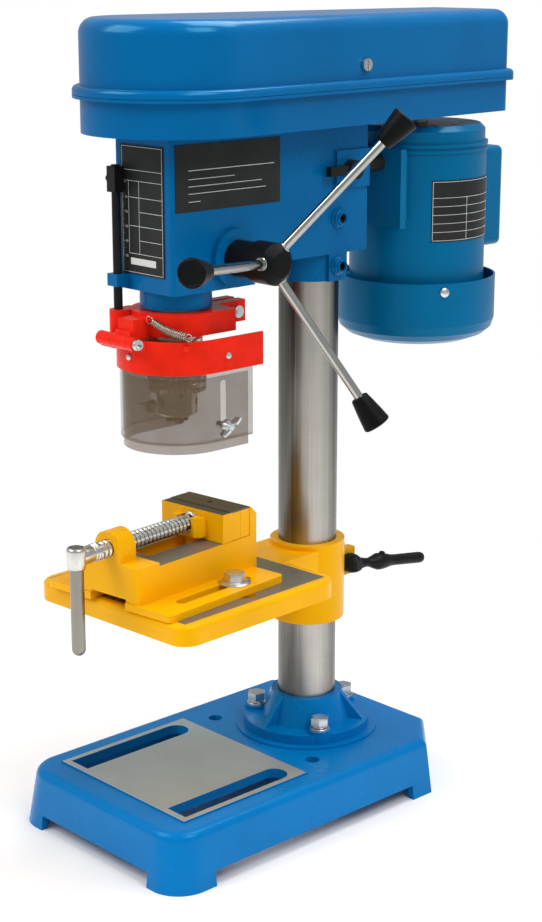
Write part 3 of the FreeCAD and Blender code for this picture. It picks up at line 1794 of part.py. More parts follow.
# ------------------------------------------------------------------ motor and its slide
def motor_ridges(clearance="0", y="0"):
    """The two pressed ridges round the top of the motor's shell."""
    radius = f"motor_radius + motor_ridge_rise + {clearance}"
    height = f"motor_ridge_height + 2 * {clearance}"
    seat = "motor_top - motor_end_height"
    return [
        rod(radius, height, y=y, z=f"{seat} - {steps} * motor_ridge_height - {clearance}")
        for steps in ("1.2", "3")
    ]


def motor_housing():
    """The motor's shell, with three pads for the fan cowl, and its end cover."""
    pad_reach = "cowl_radius - cowl_wall - motor_radius + 3"
    seat = "motor_top - motor_end_height"
    make = lambda: rod("4.5", pad_reach, "motor_radius - 3", z="cowl_screw_height", along="X")
    shell = join(
        rod("motor_radius", f"{seat} - motor_bottom", z="motor_bottom"),
        *motor_ridges(),
        *around(make, 3, "cowl_screw_turn"),
    )
    low = "motor_bottom + motor_wall"
    tap = lambda: rod(
        "cowl_screw_radius + running_gap",
        "12",
        "cowl_radius - 11",
        z="cowl_screw_height",
        along="X",
    )
    tools = [
        rod("motor_radius - motor_wall", f"{seat} - ({low}) + 1", z=low),
        rod("motor_shaft_radius + free_gap", "20", z="motor_bottom - 5"),
        *around(tap, 3, "cowl_screw_turn"),
    ]
    settle(cut(shell, *tools), "motor_body", MOTOR)
    rim = "motor_radius - motor_end_inset"
    end = revolve(
        [
            ("motor_shaft_radius + 1", seat),
            (rim, seat),
            (rim, "motor_top - 4"),
            (f"{rim} - 4", "motor_top"),
            ("motor_shaft_radius + 1", "motor_top"),
        ]
    )
    slot = lambda: block("16", "2.2", "6", "motor_radius - 14", z="motor_top - 3")
    settle(cut(end, *around(slot, 12)), "motor_end_cover", MOTOR)


def motor_inside():
    """The stator, the rotor, the shaft and the fan."""
    height = "stator_top - stator_bottom"
    stator = tube("motor_radius - motor_wall", "motor_radius / 2", height, z="stator_bottom")
    settle(stator, "motor_stator", MOTOR)
    core = rod("motor_radius / 2 - free_gap", height, z="stator_bottom")
    top = "pulley_bottom + 4 * pulley_step"
    settle(
        join(core, rod("motor_shaft_radius", f"{top} - fan_bottom", z="fan_bottom")),
        "motor_rotor",
        MOTOR,
    )
    blade = lambda: block("fan_radius - 14", "2", "fan_blade_height", "fan_radius / 2 + 7", z="fan_bottom")
    fan = join(
        rod("15", "fan_blade_height", z="fan_bottom"),
        rod("fan_radius", "2", z="fan_bottom + fan_blade_height"),
        *around(blade, 9),
    )
    bore = rod("motor_shaft_radius", "30", z="fan_bottom - 5")
    settle(cut(fan, bore), "motor_fan", MOTOR)


def fan_cowl():
    """The cowl under the motor, with ring slots in its floor, and its three screws."""
    wall = "cowl_wall"
    body = revolve(
        [
            ("0", "cowl_bottom"),
            ("cowl_flat_radius", "cowl_bottom"),
            ("cowl_radius - 8", "cowl_bottom + 4"),
            ("cowl_radius - 2.2", "cowl_bottom + 9"),
            ("cowl_radius", "cowl_shoulder + 2"),
            ("cowl_radius", "cowl_top"),
            (f"cowl_radius - {wall}", "cowl_top"),
            (f"cowl_radius - {wall}", f"cowl_shoulder + 2 + {wall} / 4"),
            (f"cowl_radius - 2.2 - {wall} * 0.9", f"cowl_bottom + 9 + {wall} / 2"),
            (f"cowl_radius - 8 - {wall} / 2", f"cowl_bottom + 4 + {wall} * 0.9"),
            (f"cowl_flat_radius - {wall} / 3", f"cowl_bottom + {wall}"),
            ("0", f"cowl_bottom + {wall}"),
        ]
    )
    slots = []
    for radius in ("12", "21", "30", "39"):
        slots.append(tube(f"{radius} + 2", f"{radius} - 2", "10", z="cowl_bottom - 5"))
    spokes = [
        turned(
            span("-50", "50", "-3", "3", "cowl_bottom - 6", "cowl_bottom + 6"),
            angle,
        ) for angle in ("0", "60", "120")
    ]
    open_floor = cut(join(*slots), *spokes)
    settle(cut(body, open_floor, *around(cowl_screw_seat, 3, "cowl_screw_turn")), "fan_cowl", MOTOR)
    settle(group(*around(cowl_screw, 3, "cowl_screw_turn")), "cowl_screws", MOTOR)


def cowl_screw():
    """One pan-head screw of the cowl, along X."""
    return join(
        rod("cowl_screw_radius", "8", "cowl_radius - 8", z="cowl_screw_height", along="X"),
        rod("cowl_screw_head", "2.2", "cowl_radius - 0.2", z="cowl_screw_height", along="X"),
    )


def cowl_screw_seat():
    """The hole and the flat under one screw of the cowl."""
    return join(
        rod("cowl_screw_radius + running_gap", "20", "cowl_radius - 10", z="cowl_screw_height", along="X"),
        rod("cowl_screw_head + running_gap", "5", "cowl_radius - 0.2", z="cowl_screw_height", along="X"),
    )


def terminal_box():
    """The box at the motor's back with the inlet for the cord."""
    half = "box_half_width"
    body = new_body()
    outline = flat_sketch(body, "XY_Plane", "box_bottom")
    pad(
        body,
        rectangle(outline, f"-{half}", half, "motor_radius * 0.8", "box_rear"),
        "box_top - box_bottom",
    )
    limit = size("motor_radius")
    round_edges(body, "box_round", lambda edge: edge.CenterOfMass.y > limit)
    solid = join(
        body,
        rod("gland_radius", "gland_length", y="box_rear - 12", z="box_bottom - gland_length + 2"),
    )
    tools = [
        rod("motor_radius", "200", z="box_bottom - 30"),
        span(
            f"-{half} + box_wall",
            f"{half} - box_wall",
            "motor_radius + 2",
            "box_rear - box_wall",
            "box_bottom + box_wall",
            "box_top - box_wall",
        ),
        rod("gland_radius / 2", "gland_length + 4", y="box_rear - 12", z="box_bottom - gland_length"),
    ]
    settle(cut(solid, *tools), "terminal_box", MOTOR)


def rating_plate():
    """The plate that lies round the motor's side."""
    shell = tube(
        "motor_radius + rating_plate_thickness",
        "motor_radius + running_gap",
        "rating_plate_top - rating_plate_bottom",
        z="rating_plate_bottom",
    )
    half_plate = "motor_radius * sin(rating_plate_half_angle)"
    window = span(
        "0",
        "motor_radius + 5",
        f"-({half_plate})",
        half_plate,
        "rating_plate_bottom - 1",
        "rating_plate_top + 1",
    )
    settle(common(shell, window), "rating_plate", MOTOR)


def motor_slide():
    """The bracket and the two rods that carry the motor, and the lever screw that holds them."""
    half = "bracket_half_width"
    rear = "bracket_front + bracket_thickness"
    solid = join(
        span(f"-{half}", half, "bracket_front", rear, "bracket_bottom", "bracket_top"),
        span(
            "-30",
            "30",
            f"{rear} - 1",
            "motor_reach - motor_radius * 0.8",
            "bracket_bottom + 4",
            "bracket_top - 4",
        ),
    )
    motor = [
        rod("motor_radius", "200", y="motor_reach", z="bracket_bottom - 50"),
        *motor_ridges("running_gap", "motor_reach"),
    ]
    sockets = [slide_rod(side, "slide_rod_radius + running_gap") for side in (-1, 1)]
    rods = [slide_rod(side, "slide_rod_radius") for side in (-1, 1)]
    settle(group(cut(solid, *motor, *sockets), *rods), "motor_bracket", COLUMN)
    start = "slide_rod_x + slide_rod_radius + free_gap"
    face = "head_half_width + slide_pad_rise + free_gap"
    level, y = "slide_rod_height", "tension_screw_y"
    lever = join(
        rod("clamp_screw_radius", f"{face} + 8 - ({start})", start, y, level, along="X"),
        rod("7", "8", face, y, level, along="X"),
        span(
            f"{face} + 1.5",
            f"{face} + 6.5",
            f"{y} - tension_lever_length",
            y,
            f"{level} - 3.5",
            f"{level} + 3.5",
        ),
    )
    settle(lever, "tension_lever", COLUMN)


def slide_rod(side, radius):
    """One of the two slide rods, from inside the head to the bracket's rear face."""
    length = "slide_rod_reach + bracket_front + bracket_thickness"
    return rod(radius, length, f"{side} * slide_rod_x", "-slide_rod_reach", "slide_rod_height", along="Y")


# ------------------------------------------------------------------ switch
def switch():
    """The switch box on the head's left side with its two buttons."""
    outer = "-head_half_width - switch_depth"
    solid = span(outer, "-head_half_width", "-switch_front", "-switch_rear", "switch_bottom", "switch_top")
    room = span(
        f"{outer} + switch_wall",
        "-head_half_width + 1",
        "-switch_front + switch_wall",
        "-switch_rear - switch_wall",
        "switch_bottom + switch_wall",
        "switch_top - switch_wall",
    )
    y = "-(switch_front + switch_rear) / 2"
    holes = [
        rod(
            "button_radius + free_gap",
            "20",
            f"{outer} - 5",
            y,
            level,
            along="X",
        ) for level in ("button_high", "button_low")
    ]
    for level, label in (("button_high", "start_button"), ("button_low", "stop_button")):
        cap = join(
            rod(
                "button_radius",
                "switch_wall + button_travel + 2",
                f"{outer} - button_travel",
                y,
                level,
                along="X",
            ),
            rod("button_radius + 1.5", "2", f"{outer} + switch_wall + free_gap", y, level, along="X"),
        )
        settle(cap, label, COLUMN)
    seat = f"{outer} + switch_wall + free_gap + 2 + button_travel + 1"
    base = span(
        seat,
        "-head_half_width",
        "-switch_front + switch_wall",
        "-switch_rear - switch_wall",
        "button_low - 8",
        "button_high + 8",
    )
    settle(group(cut(solid, room, *holes), base), "switch_box", COLUMN)


# ------------------------------------------------------------------ table
def table_plate():
    """The table's plate: rounded corners above, hollow below with a rim."""
    body = new_body()
    half = "table_half_width"
    low = "table_top - table_thickness"
    outline = rectangle(flat_sketch(body, "XY_Plane", low), f"-{half}", half, "-table_front", "-table_rear")
    pad(body, outline, "table_thickness")
    round_edges(body, "table_corner_round", upright)
    round_edges(body, "table_edge_round", lambda edge: level_at(edge, size("table_top")))
    inside = rectangle(
        flat_sketch(body, "XY_Plane", low),
        f"-{half} + table_land",
        f"{half} - table_land",
        "-table_front + table_land",
        "-table_rear - table_land",
    )
    pocket(body, inside, "table_thickness - table_web", upwards=True)
    return body


def table_casting():
    """The table with its split collar round the column."""
    ear = "collar_ear_half_width"
    high = "collar_ear_height + collar_ear_half_height"
    low = "collar_ear_height - collar_ear_half_height"
    solid = join(
        table_plate(),
        rod("collar_radius", "collar_top - collar_bottom", z="collar_bottom"),
        span(
            "-collar_radius + 4",
            "collar_radius - 4",
            "-table_rear - table_land - 1",
            "-8",
            "collar_bottom + 22",
            "table_top - 1",
        ),
        span(
            "-6",
            "6",
            "-table_front + 40",
            "-table_rear",
            "table_top - table_thickness - 6",
            "table_top - 5",
        ),
        span(f"-{ear} - 2", ear, "20", "collar_ear_reach", low, high),
    )
    tools = [
        rod("column_radius + running_gap", "collar_top - collar_bottom + 2", z="collar_bottom - 1"),
        span(
            "-collar_split / 2",
            "collar_split / 2",
            "10",
            "collar_ear_reach + 1",
            "collar_bottom - 1",
            "collar_top + 1",
        ),
        rod(
            "table_screw_radius + running_gap",
            "60",
            "-30",
            "table_screw_y",
            "collar_ear_height",
            along="X",
        ),
        rod("table_hole_radius", "40", y="-spindle_reach", z="table_top - 25"),
    ]
    for side in (-1, 1):
        inner, outer = (f"{side} * table_slot_{end}" for end in ("inner", "outer"))
        start, end = (inner, outer) if side > 0 else (outer, inner)
        wide = "table_slot_width / 2"
        tools.append(
            span(
                start,
                end,
                f"-table_slot_y - {wide}",
                f"-table_slot_y + {wide}",
                "table_top - 25",
                "table_top + 1",
            )
        )
        for middle in (start, end):
            tools.append(rod(wide, "30", middle, "-table_slot_y", "table_top - 25"))
    settle(cut(solid, *tools), "table_casting", COLUMN, TURNED)


def table_lock():
    """The clamp screw of the table's collar and its adjustable lever."""
    y, z = "table_screw_y", "collar_ear_height"
    left = "-collar_ear_half_width - 2"
    hub = "collar_ear_half_width + free_gap"
    screw = join(
        rod("table_screw_radius", f"{hub} + 10 - ({left}) + 5", f"{left} - 5", y, z, along="X"),
        hexagon("table_screw_radius * 3.2", "5", f"{left} - 5", y, z, along="X"),
    )
    body = revolve(
        [
            ("4.2", "0"),
            ("7", "0"),
            ("8", "4"),
            ("8", "11"),
            ("5.5", "14.5"),
            ("0", "14.5"),
            ("0", "11"),
            ("4.2", "11"),
        ]
    )
    straight = join(
        rod("table_lever_radius", "table_lever_length", z="6"),
        ball("table_lever_radius", z="table_lever_length + 6"),
    )
    arm = turned(turned(straight, "-90", (1, 0, 0)), "0 - table_lever_lean", x="7.5")
    lever = turned(join(turned(body, "90", (0, 1, 0)), arm), "0 - table_lever_turn", (1, 0, 0), hub, y, z)
    settle(group(screw, lever), "table_lock_lever", COLUMN, TURNED)


# ------------------------------------------------------------------ drill vise
def vise_y(distance):
    """A place along the vise, measured from its front."""
    return f"({distance}) - vise_length / 2"


def vise_block():
    """The vise's flange with the raised bed on it, rounded at the front."""
    body = new_body()
    half = "vise_body_half_width"
    flange = flat_sketch(body, "XY_Plane")
    pad(
        body,
        rectangle(flange, "-vise_half_width", "vise_half_width", vise_y("0"), vise_y("vise_length")),
        "vise_flange",
    )
    round_edges(body, "vise_corner_round", upright)
    raised = new_body()
    front = flat_sketch(raised, "XY_Plane", "0")
    pad(
        raised,
        rectangle(front, f"-{half}", half, vise_y("1"), vise_y("vise_front_depth")),
        "vise_bed + vise_front_rise",
    )
    limit = size("vise_front_depth") / 2 - size("vise_length") / 2
    round_edges(raised, "vise_corner_round", lambda edge: upright(edge) and edge.CenterOfMass.y < limit)
    rear = vise_y("vise_jaw_front + vise_fixed_jaw_end")
    return [body, raised, span(f"-{half}", half, vise_y("vise_front_depth - 1"), rear, "0", "vise_bed")]


def fixed_jaw():
    """The fixed jaw behind its plate, with its rear top edge cut off."""
    start = vise_y("vise_jaw_front + 2 * vise_jaw_plate + free_gap")
    end = vise_y("vise_jaw_front + vise_fixed_jaw_end")
    half = "vise_body_half_width"
    solid = span(f"-{half}", half, start, end, "vise_flange", "vise_height")
    corner = block("2 * vise_half_width", "4 * vise_jaw_chamfer", "2 * vise_jaw_chamfer")
    leaned = turned(corner, "-45", (1, 0, 0), y=end, z="vise_height - vise_jaw_chamfer")
    return cut(solid, leaned)


def vise_body():
    """The vise's bed: flange with two slots, raised bed, nut bridge and fixed jaw."""
    nut = vise_y("vise_bridge_front")
    solid = join(
        *vise_block(),
        fixed_jaw(),
        span(
            "-vise_bridge_radius",
            "vise_bridge_radius",
            nut,
            f"{nut} + vise_bridge_length",
            "vise_bed - 1",
            "vise_screw_height",
        ),
        rod("vise_bridge_radius", "vise_bridge_length", "0", nut, "vise_screw_height", along="Y"),
    )
    key = vise_y("vise_key_front")
    jaw = vise_y("vise_jaw_front + 2 * vise_jaw_plate + free_gap")
    notch = "vise_notch_half_width"
    tools = [
        span("-vise_bed_slot / 2", "vise_bed_slot / 2", key, jaw, "-1", "vise_bed + 1"),
        span(f"-{notch}", notch, vise_y("-1"), f"{key} + 1", "-1", "vise_notch_height"),
        rod(
            "vise_thread_radius + running_gap",
            "vise_bridge_length + 2",
            "0",
            f"{nut} - 1",
            "vise_screw_height",
            along="Y",
        ),
    ]
    for side in (-1, 1):
        x = f"{side} * vise_slot_x"
        run = "vise_slot_half_length - vise_slot_half_width"
        centre = vise_y("vise_slot_y")
        tools.append(block("2 * vise_slot_half_width", f"2 * ({run})", "20", x, centre, "-5"))
        for way in (-1, 1):
            tools.append(rod("vise_slot_half_width", "20", x, f"{centre} + {way} * ({run})", "-5"))
    settle(cut(solid, *tools), "vise_body", VISE, VISE_TURNED)


def jaw_neck():
    """The block in front of the moving jaw that takes the end of the screw."""
    body = new_body()
    low = "vise_bed + 3"
    half, narrow = "vise_neck_half_width", "(vise_neck_half_width - vise_neck_chamfer)"
    front = vise_y("vise_jaw_front - vise_moving_jaw - vise_neck_length")
    rear = vise_y("vise_jaw_front - vise_moving_jaw + 1")
    corners = [
        (f"-{half}", rear),
        (f"-{half}", f"{front} + vise_neck_chamfer"),
        (f"-{narrow}", front),
        (narrow, front),
        (half, f"{front} + vise_neck_chamfer"),
        (half, rear),
    ]
    pad(body, polygon(flat_sketch(body, "XY_Plane", low), corners), f"vise_neck_top - ({low})")
    return body


def vise_jaws():
    """The moving jaw with the key that runs in the bed, and the two steel jaw plates."""
    half = "vise_body_half_width"
    face = vise_y("vise_jaw_front")
    seat = "vise_bed + free_gap"
    bore = vise_y("vise_jaw_front - vise_moving_jaw")
    key = "vise_bed_slot / 2 - free_gap"
    solid = join(
        span(f"-{half}", half, bore, face, seat, "vise_height"),
        jaw_neck(),
        span(f"-({key})", key, bore, face, "vise_key_bottom", "vise_bed + 3"),
    )
    socket = rod(
        "vise_nose_radius + running_gap",
        "vise_neck_length + 6",
        "0",
        f"{bore} - vise_neck_length - 1",
        "vise_screw_height",
        along="Y",
    )
    settle(cut(solid, socket), "vise_moving_jaw", VISE, VISE_TURNED)
    for label, start in (
        ("moving", "vise_jaw_front"),
        ("fixed", "vise_jaw_front + vise_jaw_plate + free_gap"),
    ):
        y = vise_y(start)
        plate = span(
            f"-{half} + 0.6",
            f"{half} - 0.6",
            y,
            f"{y} + vise_jaw_plate",
            seat,
            "vise_height + 0.5",
        )
        groove_y = f"{y} + vise_jaw_plate" if label == "moving" else y
        groove = turned(block("3", "3", "30", z=seat), "45", y=groove_y)
        settle(cut(plate, groove), f"vise_{label}_plate", VISE, VISE_TURNED)


def vise_screw():
    """The vise's screw with its head, and the handle that hangs in the head."""
    z = "vise_screw_height"
    start = vise_y("0 - vise_head_reach")
    end = vise_y("vise_jaw_front - vise_moving_jaw + 4")
    grooves_end = vise_y("vise_bridge_front - 3")
    grooves = [
        ring(
            "vise_thread_radius + 0.4",
            "1.1",
            "0",
            f"{grooves_end} - {index} * vise_thread_pitch",
            z,
            along="Y",
        )
        for index in range(3)
    ]
    solid = join(
        rod("vise_thread_radius", f"{end} - ({start})", "0", start, z, along="Y"),
        rod("vise_nose_radius", "8", "0", f"{end} - 8", z, along="Y"),
        rod("vise_head_radius", "2 * vise_head_outer", "0", start, f"{z} - vise_head_outer"),
    )
    hole = rod("vise_handle_radius + running_gap", "60", "0", start, f"{z} - 30")
    settle(cut(solid, hole, *grooves), "vise_screw", VISE, VISE_TURNED)
    low = f"{z} - vise_handle_drop"
    top = f"{z} + vise_head_outer - 0.5"
    handle = join(
        rod("vise_handle_radius", f"{top} - ({low})", "0", start, low),
        ball("vise_handle_radius", "0", start, low),
    )
    settle(handle, "vise_handle", VISE, VISE_TURNED)


def vise_bolts():
    """The two bolts through the vise's slots and the table's slots."""
    web = "table_web"
    bolts = []
    for side in (-1, 1):
        x, y = f"{side} * vise_slot_x", vise_y("vise_bolt_y")
        bolts.append(
            join(
                rod("vise_washer_radius", "2", x, y, "vise_flange"),
                hexagon("vise_bolt_flats", "vise_bolt_head", x, y, "vise_flange + 2"),
                rod("bolt_radius", f"vise_flange + {web} + 16", x, y, f"-{web} - 12"),
                rod("vise_washer_radius", "2", x, y, f"-{web} - 2"),
                hexagon("vise_bolt_flats", "6.5", x, y, f"-{web} - 8.5"),
            )
        )
    settle(group(*bolts), "vise_bolts", VISE, VISE_TURNED)


# ------------------------------------------------------------------ build, check and export
def build():
    """Make every sub-part."""
    for make in (
        base_casting,
        column_flange,
        flange_bolts,
        column_tube,
        head_casting,
        head_clamp_screws,
        head_plates,
        quill,
        bearings,
        spindle,
        chuck,
        pinion_shaft,
        feed_handle,
        return_spring,
        depth_stop,
        guard_collar,
        guard_visor,
        guard_slider,
        guard_spring,
    ):
        make()
    large, small = "spindle_pulley_large", "(motor_pulley_small + 3 * motor_pulley_change)"
    step_pulley(
        large,
        "-spindle_pulley_change",
        "spindle_radius + running_gap",
        "pulley_sleeve_radius",
        SPINDLE,
        "spindle_pulley",
    )
    step_pulley(
        "motor_pulley_small",
        "motor_pulley_change",
        "motor_shaft_radius",
        None,
        MOTOR,
        "motor_pulley",
    )
    for make in (
        belt,
        cover_pan,
        cover_lid,
        cover_screw,
        motor_housing,
        motor_inside,
        fan_cowl,
        terminal_box,
        rating_plate,
        motor_slide,
        switch,
        table_casting,
        table_lock,
        vise_body,
        vise_jaws,
        vise_screw,
        vise_bolts,
    ):
        make()


def check_and_export():
    """Stop on any broken feature, then write one STEP file per sub-part."""
    document.recompute()
    for thing in document.Objects:
        if {"Invalid", "Error"} & set(thing.State):
            raise RuntimeError(f"{thing.Name} of {thing.TypeId} is broken: {thing.State}")
    os.makedirs("parts", exist_ok=True)
    for thing in SUB_PARTS:
        shape = thing.Shape
        if shape.isNull() or not shape.isValid() or not shape.Solids:
            raise RuntimeError(f"{thing.Label} has no valid solid")
        shape.exportStep(f"parts/{thing.Label}.step")


build()
check_and_export()
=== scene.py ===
"""Dresses the bench drill press: a finish for every sub-part and the fine pieces on them.

Sizes are in millimetres in the frame of what a piece sits on, and become metres when a piece
is made.  The machine stands on the plane z = 0 with its front towards -Y.
"""

import logging
import math
from dataclasses import dataclass, field
from enum import Enum
from typing import Any, Callable, ClassVar, Iterable, Sequence

import bmesh
import bpy
from mathutils import Matrix, Vector


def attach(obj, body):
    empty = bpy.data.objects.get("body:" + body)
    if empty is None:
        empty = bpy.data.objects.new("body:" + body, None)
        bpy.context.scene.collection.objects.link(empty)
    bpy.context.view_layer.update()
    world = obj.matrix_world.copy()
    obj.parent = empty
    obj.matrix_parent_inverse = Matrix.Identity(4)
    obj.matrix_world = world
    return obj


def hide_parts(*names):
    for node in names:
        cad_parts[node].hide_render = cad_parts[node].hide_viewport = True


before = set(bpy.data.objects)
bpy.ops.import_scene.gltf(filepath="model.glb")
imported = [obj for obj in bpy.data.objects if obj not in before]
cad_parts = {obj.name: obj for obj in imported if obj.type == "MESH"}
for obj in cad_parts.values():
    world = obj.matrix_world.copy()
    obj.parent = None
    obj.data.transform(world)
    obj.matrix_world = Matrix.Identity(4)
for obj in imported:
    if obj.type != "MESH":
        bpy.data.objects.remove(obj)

Point = tuple[float, float, float]
Colour = tuple[float, float, float]
Profile = Sequence[tuple[float, float]]

LOG = logging.getLogger("drill_press")
MM = 0.001


def turned_by(degrees: float, axis: str | Vector = "Z") -> Matrix:
    """A turn about an axis."""
    return Matrix.Rotation(math.radians(degrees), 4, axis)


# ------------------------------------------------------------------ frames of the machine
@dataclass(frozen=True)
class Frame:
    """A place on the machine that pieces and patterns are measured from.

    Args:
        origin: The place, in millimetres.
        turn: The turn about the upright, in degrees.
    """

    origin: Point
    turn: float = 0.0

    def matrix(self) -> Matrix:
        """The frame as a matrix in millimetres."""
        return Matrix.Translation(self.origin) @ turned_by(self.turn)


MACHINE = Frame((0.0, 0.0, 0.0))
COLUMN = Frame((-19.88, 25.65, 0.0))
TABLE = Frame((-19.88, 25.65, 0.0), 3.0)
SPINDLE = Frame((-19.88, -107.15, 0.0))
MOTOR = Frame((-19.88, 146.65, 0.0))
FEED = Frame((-19.88, -79.65, 440.0))
VISE = Frame((-11.899, -126.641, 200.5), 6.0)


class Axis(Enum):
    """The way a turned piece points."""

    X = (0.0, 1.0, 0.0, 90.0)
    Y = (1.0, 0.0, 0.0, -90.0)
    Z = (0.0, 0.0, 1.0, 0.0)

    def matrix(self) -> Matrix:
        """The turn that lays the upright along this axis."""
        x, y, z, angle = self.value
        return turned_by(angle, Vector((x, y, z)))


# ------------------------------------------------------------------ shapes
class Form:
    """A shape in the making, in millimetres."""

    def __init__(self) -> None:
        """Start with nothing."""
        self.mesh = bmesh.new()

    def block(
        self, low: Sequence[float], high: Sequence[float], bevel: float = 0.0, segments: int = 2
    ) -> "Form":
        """Add a box between two corners.

        Args:
            low: The lowest corner.
            high: The highest corner.
            bevel: How far its edges are rounded.
            segments: Steps of the rounding.

        Returns:
            This form.
        """
        low_corner, high_corner = Vector(low), Vector(high)
        middle, extent = (low_corner + high_corner) / 2, high_corner - low_corner
        matrix = Matrix.Translation(middle) @ Matrix.Diagonal(extent).to_4x4()
        made = bmesh.ops.create_cube(self.mesh, size=1.0, matrix=matrix)
        if bevel > 0:
            edges = {edge for vert in made["verts"] for edge in vert.link_edges}
            self.round_over(edges, bevel, segments)
        return self

    def round_over(self, edges: Iterable[bmesh.types.BMEdge], offset: float, segments: int) -> "Form":
        """Round edges over by an offset."""
        bmesh.ops.bevel(
            self.mesh, geom=list(edges), offset=offset, offset_type="OFFSET", affect="EDGES",
            segments=segments, profile=0.5, material=-1, clamp_overlap=True,
        )
        return self

    def spun(
        self,
        profile: Profile,
        matrix: Matrix,
        sides: int,
        turns: int = 1,
        pitch: float = 0.0,
        weld: float = 1e-4,
    ) -> "Form":
        """Turn a profile about the upright and move what it makes to its place.

        Args:
            profile: Radius and height of each corner, from one end to the other.
            matrix: Where it goes.
            sides: Facets of one turn.
            turns: Number of turns.
            pitch: Rise of one turn; 0 closes the shape.
            weld: How near two corners are joined.

        Returns:
            This form.
        """
        verts = [self.mesh.verts.new((max(radius, 0.0), 0.0, height)) for radius, height in profile]
        edges = [self.mesh.edges.new(pair) for pair in zip(verts, verts[1:])]
        before = set(self.mesh.verts) - set(verts)
        bmesh.ops.spin(
            self.mesh, geom=[*verts, *edges], cent=(0, 0, 0), axis=(0, 0, 1), dvec=(0, 0, pitch / sides),
            angle=2 * math.pi * turns, steps=sides * turns, use_merge=pitch == 0,
            use_normal_flip=False, use_duplicate=False,
        )
        new = [vert for vert in self.mesh.verts if vert not in before]
        bmesh.ops.remove_doubles(self.mesh, verts=new, dist=weld)
        new = [vert for vert in self.mesh.verts if vert not in before]
        bmesh.ops.transform(self.mesh, matrix=matrix, verts=new)
        return self

    def turned(
        self,
        profile: Profile,
        at: Point = (0.0, 0.0, 0.0),
        axis: Axis = Axis.Z,
        sides: int = 64,
        place: Matrix | None = None,
    ) -> "Form":
        """Add a turned solid.

        Args:
            profile: Radius and height of each corner, from one end to the other.
            at: Where height 0 is.
            axis: The way it points.
            sides: Facets round it.
            place: A matrix instead of the place and axis.

        Returns:
            This form.
        """
        matrix = place if place is not None else Matrix.Translation(at) @ axis.matrix()
        return self.spun(profile, matrix, sides)

    def rod(
        self, radius: float, low: float, high: float, at: Point, axis: Axis = Axis.Z, sides: int = 64
    ) -> "Form":
        """Add a plain round rod between two heights."""
        return self.turned([(0, low), (radius, low), (radius, high), (0, high)], at, axis, sides)

    def hexagon(
        self,
        flats: float,
        height: float,
        at: Point,
        axis: Axis = Axis.Z,
        chamfer: float = 0.8,
        spin: float = 0.0,
    ) -> "Form":
        """Add a hexagon head or nut with its corners turned off on top.

        Args:
            flats: Width over the flats.
            height: Height of the head.
            at: The middle of its underside.
            axis: The way its top faces.
            chamfer: Drop of the chamfer.
            spin: Turn about its own axis, in degrees.

        Returns:
            This form.
        """
        corner = flats / math.sqrt(3)
        matrix = Matrix.Translation(at) @ axis.matrix() @ turned_by(spin)
        made = bmesh.ops.create_cone(
            self.mesh, cap_ends=True, cap_tris=False, segments=6, radius1=corner, radius2=corner,
            depth=height, matrix=matrix @ Matrix.Translation((0, 0, height / 2)),
        )
        up = (matrix.to_3x3() @ Vector((0, 0, 1))).normalized()
        top = [
            edge
            for edge in {edge for vert in made["verts"] for edge in vert.link_edges}
            if all((vert.co - Vector(at)).dot(up) > height - 1e-3 for vert in edge.verts)
        ]
        return self.round_over(top, chamfer, 2)

    def ring(self, radius: float, wire: float, place: Matrix, sides: int, wire_sides: int) -> "Form":
        """Add a round ring of wire, whose axis is the matrix's upright."""
        steps = [2 * math.pi * index / wire_sides for index in range(wire_sides + 1)]
        profile = [(radius + wire * math.cos(step), wire * math.sin(step)) for step in steps]
        return self.turned(profile, sides=sides, place=place)

    def curve(self, points: Sequence[Point], radius: float, sides: int) -> "Form":
        """Add a bent rod through points.

        Args:
            points: Its centre line.
            radius: Its radius.
            sides: Fineness of its round section.

        Returns:
            This form.
        """
        line = bpy.data.curves.new("centre_line", "CURVE")
        line.dimensions = "3D"
        line.bevel_depth = radius
        line.bevel_resolution = sides
        line.use_fill_caps = True
        spline = line.splines.new("POLY")
        spline.points.add(len(points) - 1)
        for vertex, point in zip(spline.points, points):
            vertex.co = (*point, 1.0)
        return self.take(line, Matrix.Identity(4))

    def text(self, words: str, height: float, place: Matrix, depth: float = 0.05) -> "Form":
        """Add figures whose baseline starts at the matrix's place, in its own plane."""
        line = bpy.data.curves.new("figures", "FONT")
        line.body = words
        line.size = height / 0.7
        line.extrude = depth / 2
        line.resolution_u = 3
        return self.take(line, place)

    def take(self, data: bpy.types.Curve, place: Matrix) -> "Form":
        """Add a curve or figures as a mesh, and remove the curve."""
        holder = bpy.data.objects.new("holder", data)
        bpy.context.scene.collection.objects.link(holder)
        mesh = bpy.data.meshes.new_from_object(holder.evaluated_get(bpy.context.evaluated_depsgraph_get()))
        mesh.transform(place)
        self.mesh.from_mesh(mesh)
        bpy.data.objects.remove(holder)
        bpy.data.curves.remove(data)
        bpy.data.meshes.remove(mesh)
        return self

    def thread(
        self, radius: float, pitch: float, length: float, place: Matrix, depth: float = 0.9, sides: int = 28
    ) -> "Form":
        """Add a screw thread round a core.

        Args:
            radius: Outer radius of the thread.
            pitch: Rise of one turn.
            length: Length of the thread along the upright.
            place: Where its start is.
            depth: Depth of the thread.
            sides: Steps of one turn.

        Returns:
            This form.
        """
        core = radius - depth
        corners = [(core, 0.0), (radius, 0.30), (radius, 0.45), (core, 0.75), (core, 1.0)]
        profile = [(away, share * pitch) for away, share in corners]
        turns = max(1, int(length / pitch) - 1)
        self.spun(profile, place, sides, turns, pitch, weld=1e-3)
        return self.turned([(0, 0), (core, 0), (core, length), (0, length)], sides=sides, place=place)

